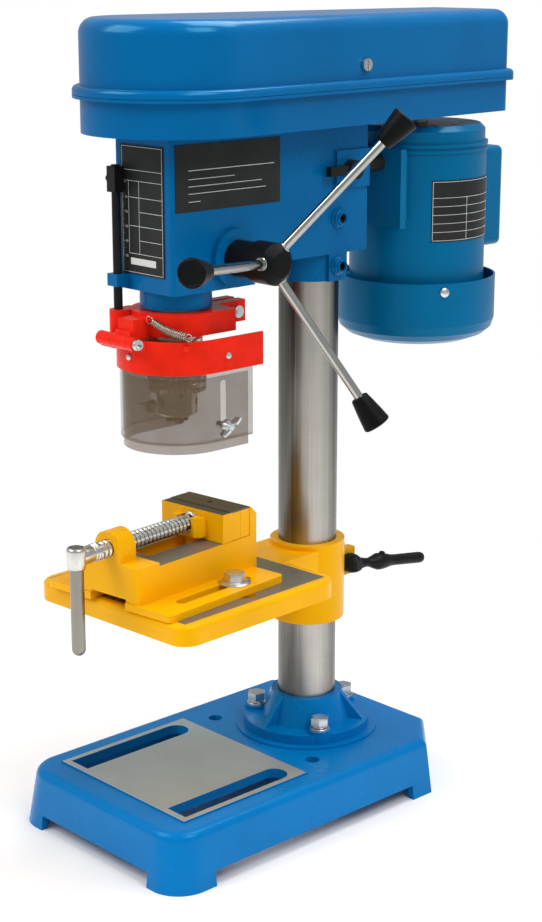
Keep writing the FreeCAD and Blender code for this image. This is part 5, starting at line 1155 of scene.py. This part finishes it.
@dataclass
class Head(SubAssembly):
    """The head casting with its plates, clamp screws and return spring.

    Args:
        front: How far the head's front face is before the column.
        plate_half: Half the width of the scale plate.
        plate_low: Its lower edge.
        plate_high: Its upper edge.
        plate_thick: Its thickness.
        scale_zero: Height of the scale's zero.
        scale_step: Distance of ten millimetres of travel on the scale.
        line: Width of a printed line.
        ink: Thickness of the print.
        sunk: How far the print reaches into the plate.
        margin: Distance of the frame line from the plate's edge.
        figure: Height of the scale's figures.
        figure_left: Where they start, from the plate's left.
        side: How far the head's right side is from its middle.
        side_thick: Thickness of the side plate.
        clamp_heights: Heights of the two screws that clamp the head.
    """

    front: float = 161.8
    plate_half: float = 22.9
    plate_low: float = 429.7
    plate_high: float = 520.2
    plate_thick: float = 0.8
    scale_zero: float = 494.0
    scale_step: float = 10.4
    line: float = 0.32
    ink: float = 0.05
    sunk: float = 0.02
    margin: float = 1.2
    figure: float = 1.9
    figure_left: float = 4.1
    side: float = 31.0
    side_thick: float = 0.5
    clamp_heights: tuple[float, float] = (458.2, 422.5)

    finishes: ClassVar[dict[str, Finish]] = {
        "head_casting": HEAD_PAINT,
        "head_clamp_screws": DARK_STEEL,
        "scale_plate": PLATE_BLACK,
        "side_plate": PLATE_BLACK,
        "return_spring_case": BLACK_PLASTIC,
        "return_spring": DARK_STEEL,
    }

    def build(self) -> None:
        """Make the print on both plates and the clamp screws."""
        self.print_scale()
        self.print_side()
        self.make_clamp_nuts()

    def stroke(self, form: Form, left: float, low: float, right: float, high: float) -> None:
        """Print a filled rectangle on the scale plate, in width from its left and in height."""
        face = -self.front - self.plate_thick
        form.block(
            (left - self.plate_half, face - self.ink, low),
            (right - self.plate_half, face + self.sunk, high),
        )

    def across(self, form: Form, left: float, right: float, height: float) -> None:
        """Print a level line."""
        self.stroke(form, left, height - self.line / 2, right, height + self.line / 2)

    def upright(self, form: Form, at: float, low: float, high: float) -> None:
        """Print an upright line."""
        self.stroke(form, at - self.line / 2, low, at + self.line / 2, high)

    def print_scale(self) -> None:
        """Print the depth scale and the empty table beside it."""
        form = Form()
        width, low, high = 2 * self.plate_half, self.plate_low, self.plate_high
        edge, first, second, top, bottom = self.margin, 8.2, 19.5, 25.0, 76.0
        for height in (low + edge, high - edge):
            self.across(form, edge, width - edge, height)
        for at in (edge, width - edge):
            self.upright(form, at, low + edge, high - edge)
        rows = (
            (edge, 17.5), (edge, top), (first, 36.5), (second, 46.5), (first, 56.5), (second, 66.5),
            (first, bottom),
        )
        for left, drop in rows:
            self.across(form, left, width - edge, high - drop)
        for at in (first, second):
            self.upright(form, at, high - bottom, high - top)
        for index in range(51):
            long = 2.6 if index % 10 == 0 else 1.9 if index % 5 == 0 else 1.2
            height = self.scale_zero - index * self.scale_step / 10
            thick = 0.24 if index % 5 == 0 else 0.14
            self.stroke(form, edge, height - thick / 2, edge + long, height + thick / 2)
        face = -self.front - self.plate_thick - self.sunk
        for index in range(6):
            foot = self.scale_zero - index * self.scale_step - self.figure / 2
            place = Matrix.Translation((self.figure_left - self.plate_half, face, foot))
            form.text(str(10 * index), self.figure, place @ turned_by(90, "X"))
        self.stroke(form, 9.5, low + 6.6, 37.0, low + 11.4)
        self.piece(form, "scale_print", "stand", INK, COLUMN)

    def print_side(self) -> None:
        """Print plain rules on the side plate."""
        form = Form()
        face, first = self.side + self.side_thick, -147.0
        rules = (
            (-66.0, 504.0, 0.5), (-104.0, 498.0, 0.4), (-78.0, 493.0, 0.4), (-74.0, 488.0, 0.4),
            (-136.0, 482.5, 0.4),
        )
        for last, height, thick in rules:
            low, high = height - thick / 2, height + thick / 2
            form.block((face - self.sunk, first, low), (face + self.ink, last, high))
        self.piece(form, "side_print", "stand", INK, COLUMN)

    def make_clamp_nuts(self) -> None:
        """Make the painted nuts of the clamp screws and the dark sockets in them."""
        nuts, sockets = Form(), Form()
        nut = [
            (4.2, 0), (7.3, 0), (7.5, 0.4), (7.3, 1.2), (6.6, 1.9), (6.3, 2.3), (6.3, 3.4), (5.9, 4.0),
            (5.3, 4.3), (5.1, 5.4), (4.6, 6.0), (3.9, 6.1), (3.6, 5.7), (3.3, 4.0), (4.2, 3.8), (4.2, 0),
        ]
        socket = [(0, 2.0), (3.2, 2.6), (3.35, 4.6), (2.5, 4.9), (2.3, 2.8), (0, 2.4)]
        for height in self.clamp_heights:
            seat = (self.side, 0, height)
            nuts.turned(nut, seat, Axis.X, 48)
            sockets.turned(socket, seat, Axis.X, 6)
            sockets.rod(3.9, -8.0, 2.2, seat, Axis.X, 32)
        self.piece(nuts, "clamp_nuts", "stand", HEAD_PAINT, COLUMN, ["head_clamp_screws"])
        self.piece(sockets, "clamp_sockets", "stand", BLACKED, COLUMN)


@dataclass
class DepthStop(SubAssembly):
    """The depth rod and its pointer."""

    finishes: ClassVar[dict[str, Finish]] = {"depth_rod": BLACKED, "depth_pointer": DARK_STEEL}


@dataclass
class Guard(SubAssembly):
    """The red chuck guard with its smoked screens, screws and spring.

    Args:
        spring_from: Where the spring hangs on the collar, from the spindle.
        spring_length: Length of its coils.
        spring_radius: Radius of its coils.
        spring_wire: Radius of its wire.
        spring_pitch: Rise of one coil, in radii of the wire.
        spring_turn: Turn of the spring about the upright, in degrees.
        spring_slope: How far it hangs down, in degrees.
        spring_sag: How far its middle sags.
        hinge: The middle of the hinge, from the spindle.
        ring_radius: Radius of the ring.
        ring_screw: Height of the small screws in the ring.
        wing_screw: The face that the right wing screw sits on.
        wing_turns: How far the right and the left wing screws are turned, in degrees.
        wing_slant: How far a wing slants, in degrees.
    """

    spring_from: Point = (11.6, -34.6, 400.0)
    spring_length: float = 27.5
    spring_radius: float = 2.5
    spring_wire: float = 0.5
    spring_pitch: float = 3.0
    spring_turn: float = 22.5
    spring_slope: float = 18.5
    spring_sag: float = 1.6
    hinge: Point = (0.0, -50.0, 385.0)
    ring_radius: float = 43.4
    ring_screw: float = 373.0
    wing_screw: Point = (41.4, 10.0, 321.5)
    wing_turns: tuple[float, float] = (34.0, -20.0)
    wing_slant: float = 12.0

    finishes: ClassVar[dict[str, Finish]] = {
        "guard_collar": RED_PLASTIC,
        "guard_ring": RED_PLASTIC,
        "guard_screen": SMOKED,
        "guard_slider": SMOKED,
        "guard_clamp_screw": ZINC,
        "guard_hinge_bolt": ZINC,
        "guard_screws": ZINC,
        "guard_spring": SPRING_STEEL,
    }

    def build(self) -> None:
        """Make the coil spring, the hinge bolt and the screws."""
        self.wind_spring()
        self.make_bolt()
        self.make_screws()

    def wind_spring(self) -> None:
        """Wind the spring between its two eyes, a little slack in the middle."""
        radius, wire, length = self.spring_radius, self.spring_wire, self.spring_length
        coils = int(length / (self.spring_pitch * wire))
        steps = 14
        points = []
        for index in range(coils * steps + 1):
            share = index / (coils * steps)
            angle = 2 * math.pi * index / steps
            sag = self.spring_sag * math.sin(math.pi * share)
            x, y = radius * math.cos(angle) + sag, radius * math.sin(angle)
            points.append((x, y, radius + length * share))
        form = Form().curve(points, wire, sides=2)
        for height in (0.0, length + 2 * radius):
            upright = Matrix.Translation((0, 0, height)) @ turned_by(90, "X")
            form.add(Form().ring(radius, wire, upright, 28, 8))
        lay = turned_by(90 + self.spring_slope, "Y")
        spin = turned_by(self.spring_turn)
        form.move(Matrix.Translation(self.spring_from) @ spin @ lay)
        self.piece(form, "guard_spring_coil", "quill_group", SPRING_STEEL, SPINDLE, ["guard_spring"], 60.0)

    def make_bolt(self) -> None:
        """Make the hinge bolt with its round socket head."""
        form = Form().turned(
            [
                (0, -20.0), (3.0, -20.0), (3.0, 15.0), (4.0, 15.0), (4.0, 18.4), (3.5, 19.0), (2.3, 19.0),
                (2.1, 18.8), (2.1, 16.6), (0, 16.6),
            ],
            self.hinge, Axis.X, 32,
        )
        self.piece(form, "guard_hinge_bolt_capped", "visor", ZINC, SPINDLE, ["guard_hinge_bolt"])

    def make_screws(self) -> None:
        """Make the small pan-head screws and the two wing screws of the screen."""
        form = Form()
        head = [
            (0, -5.0), (1.2, -5.0), (1.2, -0.1), (2.4, -0.1), (2.4, 0.7), (2.0, 1.3), (1.1, 1.6), (0, 1.7)
        ]
        seat = Matrix.Translation((self.ring_radius, 0, self.ring_screw))
        for angle, y in ((-91.0, 0.0), (0.0, 11.0), (180.0, 11.0)):
            place = Matrix.Translation((0, y, 0)) @ turned_by(angle) @ seat @ Axis.X.matrix()
            form.turned(head, sides=24, place=place)
        for side, turned in zip((1, -1), self.wing_turns):
            wing = Form().turned(
                [
                    (0, -8), (2.5, -8), (2.5, 0.2), (5.0, 0.2), (5.0, 1.2), (4.2, 3.4), (3.1, 5.4),
                    (2.4, 7.0), (0, 7.2),
                ],
                sides=28,
                axis=Axis.X,
            )
            for way in (1, -1):
                blade = Form().block((3.4, 1.4, -1.0), (10.2, 8.6, 1.0), 0.9, 3)
                blade.move(turned_by(self.wing_slant))
                if way < 0:
                    blade.move(turned_by(180, "X"))
                wing.add(blade)
            wing.move(turned_by(turned, "X"))
            wing.move(Matrix.Translation(self.wing_screw))
            if side < 0:
                wing.move(Matrix.Diagonal((-1, 1, 1, 1)))
            form.add(wing)
        self.piece(form, "guard_screw_set", "visor", ZINC, SPINDLE, ["guard_screws"])


@dataclass
class Chuck(SubAssembly):
    """The quill, the spindle and the key chuck.

    Args:
        sleeve_low: Lower end of the toothed sleeve.
        sleeve_high: Upper end of the sleeve.
        sleeve_radius: Radius of the sleeve.
        bore: Radius inside the sleeve.
        teeth: Number of its key teeth.
        ribs: Number of its grip ribs.
    """

    sleeve_low: float = 343.0
    sleeve_high: float = 366.7
    sleeve_radius: float = 21.5
    bore: float = 14.85
    teeth: int = 32
    ribs: int = 56

    finishes: ClassVar[dict[str, Finish]] = {
        "quill": CHUCK_STEEL,
        "quill_bearings": BRIGHT_STEEL,
        "spindle": BRIGHT_STEEL,
        "chuck_body": CHUCK_STEEL,
        "chuck_jaws": DARK_STEEL,
        "chuck_sleeve": CHUCK_STEEL,
        "pulley_bearings": BRIGHT_STEEL,
    }

    def build(self) -> None:
        """Make the sleeve with its teeth and its grip ribs."""
        low, high, outer, bore = self.sleeve_low, self.sleeve_high, self.sleeve_radius, self.bore
        form = Form().block((outer - 4.2, -0.95, low + 0.1), (outer - 0.4, 0.95, low + 3.4), 0.5, 1)
        form.repeated(self.teeth)
        ribs = Form().block((outer - 1.6, -0.5, low + 8.0), (outer, 0.5, high - 3.2), 0.3, 1)
        ribs.repeated(self.ribs)
        form.add(ribs)
        form.turned(
            [
                (bore, low), (outer - 4.0, low), (outer - 3.4, low + 0.4), (outer - 1.2, low + 3.2),
                (outer - 0.2, low + 4.2), (outer - 0.2, low + 7.2), (outer - 0.8, low + 7.8),
                (outer - 0.8, high - 3.0), (outer - 0.2, high - 2.4), (outer - 0.2, high - 0.8),
                (outer - 1.0, high), (bore, high), (bore, low),
            ]
        )
        self.piece(form, "chuck_sleeve_geared", "sleeve", CHUCK_STEEL, SPINDLE, ["chuck_sleeve"])


@dataclass
class Feed(SubAssembly):
    """The feed handle: hub, three chromed levers and their grips.

    Args:
        lever_x: How far the levers' meeting point is from the spindle.
        cone: How far the levers lean outwards, in degrees.
        turn: The first lever's turn, in degrees.
        root: Where a lever leaves the hub.
        grip_start: Where its grip starts.
        grip_length: Length of the grip.
    """

    lever_x: float = 68.0
    cone: float = 25.7
    turn: float = 53.5
    root: float = 14.0
    grip_start: float = 113.5
    grip_length: float = 24.5

    finishes: ClassVar[dict[str, Finish]] = {
        "pinion_shaft": BRIGHT_STEEL,
        "feed_hub": BLACK_PLASTIC,
        "feed_levers": CHROME,
        "feed_grips": BLACK_PLASTIC,
    }

    def lever(self, index: int) -> Matrix:
        """The place of a lever, whose upright runs along it."""
        lean = turned_by(self.cone, "Y")
        spin = turned_by(90 - self.turn + 120 * index, Vector((-1, 0, 0)))
        return Matrix.Translation((self.lever_x, 0, 0)) @ spin @ lean

    def build(self) -> None:
        """Make the lever collars and the grips."""
        collars, grips = Form(), Form()
        start, length = self.grip_start, self.grip_length
        end = start + length
        grip = [
            (3.35, start + 0.1), (5.4, start), (6.1, start + 0.4), (6.5, start + 1.4), (7.8, start + 8.5),
            (9.0, start + 15.5), (9.8, end - 3.2), (10.0, end - 2.2), (9.9, end - 1.2), (9.3, end - 0.5),
            (8.4, end - 0.2), (8.0, end - 0.6), (7.6, end - 0.7), (0, end - 0.7),
        ]
        for index in range(3):
            place = self.lever(index)
            collars.turned(
                [
                    (3.3, self.root), (4.4, self.root), (4.7, self.root + 0.4), (4.7, self.root + 2.0),
                    (4.4, self.root + 2.4), (3.3, self.root + 2.4),
                ],
                sides=36, place=place,
            )
            grips.turned(grip, sides=56, place=place)
        self.piece(collars, "lever_collars", "feed", CHROME, FEED)
        self.piece(grips, "lever_grips", "feed", BLACK_PLASTIC, FEED, ["feed_grips"])


@dataclass
class Drive(SubAssembly):
    """The pulleys, the belt and the cover over them."""

    finishes: ClassVar[dict[str, Finish]] = {
        "spindle_pulley": PULLEY_METAL,
        "motor_pulley": MOTOR_PULLEY_METAL,
        "drive_belt": BELT_RUBBER,
        "cover_pan": COVER_PAINT,
        "cover_lid": COVER_PAINT,
        "cover_screw": ZINC,
    }


@dataclass
class Motor(SubAssembly):
    """The motor with its cowl, box and slide.

    Args:
        plate_radius: Radius of the rating plate's face.
        plate_half_angle: Half its width round the motor, in degrees.
        plate_low: Its lower edge.
        plate_high: Its upper edge.
        line: Width of a printed line.
        ink: Thickness of the print.
        sunk: How far the print reaches into the plate.
        strip: Length of the straight strips that a bent line is made of.
        lap: How far a strip reaches past its ends.
        cowl_radius: Radius of the fan cowl.
        screw_height: Height of the cowl's screws.
        screw_turn: Turn of the first one, in degrees.
    """

    plate_radius: float = 54.5
    plate_half_angle: float = 36.0
    plate_low: float = 432.0
    plate_high: float = 479.5
    line: float = 0.34
    ink: float = 0.05
    sunk: float = 0.06
    strip: float = 3.0
    lap: float = 0.02
    cowl_radius: float = 63.5
    screw_height: float = 394.0
    screw_turn: float = -27.0

    finishes: ClassVar[dict[str, Finish]] = {
        "motor_body": MOTOR_PAINT,
        "motor_end_cover": MOTOR_PAINT,
        "fan_cowl": MOTOR_PAINT,
        "motor_bracket": BRACKET_PAINT,
        "terminal_box": MOTOR_PAINT,
        "motor_stator": WINDINGS,
        "motor_rotor": BRIGHT_STEEL,
        "motor_fan": BLACK_PLASTIC,
        "cowl_screws": ZINC,
        "rating_plate": PLATE_BLACK,
        "tension_lever": BLACKED,
    }

    def build(self) -> None:
        """Make the print on the rating plate and the pan heads of the cowl's screws."""
        form = Form()
        half = math.radians(self.plate_half_angle) * self.plate_radius
        height = self.plate_high - self.plate_low
        edge, title = 1.1, 13.4
        rows = [edge, title] + [title + (height - title - edge) * row / 5 for row in range(1, 6)]
        for drop in rows:
            self.stroke(form, edge - half, half - edge, self.plate_high - drop, self.line)
        for along, drop in ((edge - half, edge), (half - edge, edge), (-half * 0.08, title)):
            middle = (self.plate_high - drop + self.plate_low + edge) / 2
            self.stroke(form, along - self.line / 2, along + self.line / 2, middle, height - drop - edge)
        self.piece(form, "rating_print", "motor", INK, MOTOR)
        heads = Form()
        dome = [
            (0, -7.0), (2.0, -7.0), (2.0, 0.0), (4.0, 0.0), (4.0, 0.5), (3.6, 1.3), (2.6, 1.9), (1.2, 2.15),
            (1.1, 1.6), (0, 1.6),
        ]
        seat = Matrix.Translation((self.cowl_radius - 0.2, 0, self.screw_height))
        for index in range(3):
            place = turned_by(self.screw_turn + 120 * index) @ seat @ Axis.X.matrix()
            heads.turned(dome, sides=32, place=place)
        self.piece(heads, "cowl_screw_set", "motor", ZINC, MOTOR, ["cowl_screws"])

    def stroke(self, form: Form, left: float, right: float, middle: float, height: float) -> None:
        """Print a rectangle round the plate, from one arc length to another."""
        count = max(1, round((right - left) / self.strip))
        for index in range(count):
            first = left + (right - left) * index / count
            last = left + (right - left) * (index + 1) / count
            turn = Matrix.Rotation((first + last) / 2 / self.plate_radius, 4, "Z")
            low = (self.plate_radius - self.sunk, (first - last) / 2 - self.lap, middle - height / 2)
            high = (self.plate_radius + self.ink, (last - first) / 2 + self.lap, middle + height / 2)
            form.add(Form().block(low, high), turn)


@dataclass
class Switch(SubAssembly):
    """The switch box with its two buttons."""

    finishes: ClassVar[dict[str, Finish]] = {
        "switch_box": BLACK_PLASTIC, "start_button": GREEN_PLASTIC, "stop_button": STOP_PLASTIC
    }


@dataclass
class Table(SubAssembly):
    """The table with its collar and lock lever.

    Args:
        hub: Where the lever's hub sits on the collar's ear.
        lean: How far the arm leans outwards, in degrees.
        droop: How far it hangs down, in degrees.
    """

    hub: Point = (9.3, 37.0, 175.0)
    lean: float = 15.0
    droop: float = 5.0

    finishes: ClassVar[dict[str, Finish]] = {"table_casting": TABLE_PAINT, "table_lock_lever": BLACKED}

    def build(self) -> None:
        """Make the lock lever: hub, neck, joint and a straight round arm."""
        form = Form().turned(
            [
                (0, -24.0), (4.0, -24.0), (4.0, 0.0), (6.6, 0.0), (7.6, 1.0), (8.0, 3.5), (7.9, 7.0),
                (6.6, 11.0), (5.2, 13.4), (4.0, 14.4), (0, 14.6),
            ],
            axis=Axis.X,
        )
        form.hexagon(12.8, 5.0, (-25.3, 0, 0), Axis.X, 0.6)
        arm = Form().turned(
            [
                (0, 4.0), (4.6, 5.0), (4.4, 8.0), (3.7, 11.0), (3.6, 14.0), (5.2, 18.0), (6.8, 22.0),
                (6.9, 25.0), (6.4, 29.0), (5.4, 33.0), (4.7, 36.0), (4.5, 40.0), (4.6, 63.0), (4.4, 65.6),
                (3.6, 67.4), (2.2, 68.4), (0, 68.6),
            ],
            axis=Axis.Y, sides=40,
        )
        rivet = [(0, 0), (2.4, 0), (2.6, 0.4), (2.4, 1.6), (1.4, 2.2), (0, 2.4)]
        arm.add(Form().turned(rivet, (0, 27.0, 6.0), sides=24))
        arm.move(Matrix.Translation((7.5, 0, 0)) @ turned_by(-self.lean))
        form.add(arm)
        form.move(Matrix.Translation(self.hub) @ turned_by(-self.droop, "X"))
        self.piece(form, "lock_lever_jointed", "table_lever", BLACKED, TABLE, ["table_lock_lever"])


@dataclass
class Vise(SubAssembly):
    """The drill vise on the table.

    Args:
        screw_height: Height of the screw over the table.
        screw_front: Where the handle crosses the screw, along the vise.
        nut_front: The front of the nut bridge.
        jaw_back: Where the moving jaw takes the screw.
        thread_radius: Radius of the thread.
        thread_lead_in: How far before the nut bridge it starts.
        pitch: Pitch of the thread.
        bolt_x: How far the bolts are from the vise's middle.
        bolt_y: How far back they are.
    """

    screw_height: float = 42.0
    screw_front: float = -89.5
    nut_front: float = -59.5
    jaw_back: float = 22.2
    thread_radius: float = 6.5
    thread_lead_in: float = 11.0
    pitch: float = 4.0
    bolt_x: float = 46.0
    bolt_y: float = 23.5

    finishes: ClassVar[dict[str, Finish]] = {
        "vise_body": VISE_PAINT,
        "vise_moving_jaw": VISE_PAINT,
        "vise_moving_plate": JAW_PLATES,
        "vise_fixed_plate": JAW_PLATES,
        "vise_screw": THREAD_STEEL,
        "vise_handle": HANDLE_STEEL,
        "vise_bolts": ZINC,
    }

    def build(self) -> None:
        """Make the threaded screw and the bolts."""
        self.cut_screw()
        self.make_bolts()

    def cut_screw(self) -> None:
        """Make the screw with its thread, its rings and its rounded head."""
        form = Form()
        start = self.nut_front - self.thread_lead_in
        place = Matrix.Translation((0, start, self.screw_height)) @ Axis.Y.matrix()
        form.thread(self.thread_radius, self.pitch, self.jaw_back - start, place)
        nose = [(0, 0), (7.4, 0), (8.0, 0.6), (8.0, 7.4), (7.4, 8.0), (0, 8.0)]
        form.turned(nose, (0, self.jaw_back + 2.0, self.screw_height), Axis.Y, 40)
        cross = (0, self.screw_front, self.screw_height)
        run = start - self.screw_front
        form.turned(
            [
                (0, 1.0), (6.2, 1.0), (6.4, 2.0), (6.5, 12.5), (6.3, 13.2), (5.9, 13.7), (5.9, 14.3),
                (6.6, 14.8), (6.6, 15.6), (5.9, 16.2), (5.9, 16.8), (6.6, 17.4), (6.6, 18.2), (5.9, 18.8),
                (5.9, run), (0, run),
            ],
            cross, Axis.Y, 48,
        )
        form.turned(
            [
                (5.1, -8.0), (6.0, -8.0), (6.5, -7.6), (6.9, -6.6), (7.0, -4.0), (7.0, 5.4), (6.8, 6.8),
                (6.2, 7.6), (5.1, 8.0), (5.1, -8.0),
            ],
            cross, sides=56,
        )
        self.piece(form, "vise_screw_threaded", "screw", THREAD_STEEL, VISE, ["vise_screw"])

    def make_bolts(self) -> None:
        """Make the flanged bolts that hold the vise in the table's slots."""
        form = Form()
        for side in (-1, 1):
            middle = (self.bolt_x * side, self.bolt_y)
            flange = [(0, 0), (12.0, 0), (12.0, 0.7), (11.2, 1.3), (8.6, 2.0), (0, 2.0)]
            form.turned(flange, (*middle, 5.4), sides=56)
            form.hexagon(14.0, 6.0, (*middle, 7.4), chamfer=0.8, spin=20)
            form.turned([(0, 0), (6.0, 0), (6.0, 0.3), (0, 0.5)], (*middle, 13.3), sides=40)
            form.rod(4.0, 0, -35.0, (*middle, 7.0), sides=32)
            form.rod(12.0, 0, -2.0, (*middle, -9.0), sides=48)
            form.hexagon(14.0, 6.5, (*middle, -17.5), chamfer=0.6)
        self.piece(form, "vise_bolt_set", "table", ZINC, VISE, ["vise_bolts"])


# ------------------------------------------------------------------ studio
@dataclass
class Lamp:
    """A soft lamp of the studio.

    Args:
        name: Its name.
        place: Where it hangs, in metres.
        target: What it looks at, in metres.
        width: Its width.
        height: Its height.
        power: Its power in watts.
    """

    name: str
    place: Point
    target: Point
    width: float
    height: float
    power: float

    def hang(self) -> None:
        """Hang the lamp."""
        light = bpy.data.lights.new(self.name, "AREA")
        light.shape = "RECTANGLE"
        light.size = self.width
        light.size_y = self.height
        light.energy = self.power
        holder = bpy.data.objects.new(self.name, light)
        holder.location = self.place
        aim = Vector(self.target) - Vector(self.place)
        holder.rotation_euler = aim.to_track_quat("-Z", "Y").to_euler()
        bpy.context.scene.collection.objects.link(holder)


@dataclass
class Studio:
    """The pale floor, the light and the camera.

    Args:
        ambient: Strength of the light from all round.
        mirrored: Strength of what is seen in glossy surfaces.
        lamps: The soft lamps.
        eye: Where the camera stands, in metres.
        pitch: How far it looks down, in degrees.
        azimuth: Its turn, in degrees.
        lens: Its lens in millimetres.
        floor_clear: How far the floor shows its own tone, in millimetres.
        floor_fade: Over what distance it fades to white.
    """

    ambient: float = 0.42
    mirrored: float = 0.36
    lamps: tuple[Lamp, ...] = (
        Lamp("key_lamp", (-0.55, -1.25, 1.55), (0.0, -0.02, 0.30), 1.1, 1.1, 19.0),
        Lamp("side_lamp", (1.25, -0.1, 1.65), (0.0, 0.0, 0.30), 0.8, 0.8, 14.0),
        Lamp("top_lamp", (0.1, 0.5, 1.7), (0.0, 0.0, 0.3), 0.9, 0.9, 18.0),
    )
    eye: Point = (0.99769, -0.96933, 0.64864)
    pitch: float = 15.11
    azimuth: float = 46.80
    lens: float = 73.46
    floor_clear: float = 260.0
    floor_fade: float = 500.0

    def build(self) -> None:
        """Set up the studio."""
        self.set_world()
        self.lay_floor()
        for lamp in self.lamps:
            lamp.hang()
        self.set_camera()

    def rays(self, sheet: Sheet) -> dict[str, Wire]:
        """What kind of ray looks, by the names of the light path."""
        names = ("Is Camera Ray", "Is Glossy Ray", "Is Transmission Ray")
        node = sheet.add("ShaderNodeLightPath").socket.node
        return {name: Wire(sheet, node.outputs[name]) for name in names}

    def set_world(self) -> None:
        """A plain even sky, white where it is looked at."""
        world = bpy.data.worlds.new("studio_world")
        bpy.context.scene.world = world
        sheet = Sheet(world)
        rays = self.rays(sheet)
        seen = rays["Is Camera Ray"].math("MAXIMUM", rays["Is Transmission Ray"])
        mirrored = rays["Is Glossy Ray"] * (self.mirrored - self.ambient) + self.ambient
        strength = seen * (1 - mirrored) + mirrored
        sky = sheet.add("ShaderNodeBackground", inputs={"Color": (1.0, 1.0, 1.0), "Strength": strength})
        sheet.add_output(sky, "ShaderNodeOutputWorld")

    def lay_floor(self) -> None:
        """A pale floor that keeps the machine's shadow."""
        form = Form().block((-6000.0, -6000.0, -20.0), (6000.0, 6000.0, 0.0))
        floor = form.make("studio_floor")
        sheet = Sheet.of("studio_floor")
        place = sheet.local(MACHINE)
        grain = sheet.noise(place, 0.02, 2.0)
        tone = sheet.mix((0.93, 0.93, 0.93), (0.96, 0.96, 0.96), grain)
        near = sheet.add("ShaderNodeBsdfDiffuse", inputs={"Color": tone})
        far = sheet.add("ShaderNodeEmission", inputs={"Color": (1.0, 1.0, 1.0), "Strength": 1.0})
        x, y, _ = sheet.split(place)
        away = ((x * x + y * y).math("SQRT") - self.floor_clear).math("DIVIDE", self.floor_fade, clamp=True)
        rays = self.rays(sheet)
        mixed = sheet.add("ShaderNodeMixShader", inputs={0: away * rays["Is Camera Ray"], 1: near, 2: far})
        sheet.add_output(mixed, "ShaderNodeOutputMaterial")
        floor.data.materials.append(sheet.owner)

    def set_camera(self) -> None:
        """Stand the camera where the machine is seen from."""
        data = bpy.data.cameras.new("camera")
        data.lens = self.lens
        data.sensor_width = 36.0
        data.clip_end = 50.0
        camera = bpy.data.objects.new("camera", data)
        camera.location = self.eye
        camera.rotation_euler = (math.radians(90.0 - self.pitch), 0.0, math.radians(self.azimuth))
        bpy.context.scene.collection.objects.link(camera)
        bpy.context.scene.camera = camera
        bpy.context.scene.view_settings.view_transform = "Standard"


def main() -> None:
    """Dress the machine and set up the studio."""
    logging.basicConfig(level=logging.INFO, format="%(message)s")
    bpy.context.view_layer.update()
    for kind in (Base, Head, DepthStop, Guard, Chuck, Feed, Drive, Motor, Switch, Table, Vise):
        sub_assembly = kind()
        sub_assembly.build()
        sub_assembly.dress()
        dressed, made = len(sub_assembly.finishes), len(sub_assembly.made)
        LOG.info("%s: %d sub-parts, %d fine pieces", kind.__name__, dressed, made)
    Studio().build()


if __name__ == "__main__":
    main()
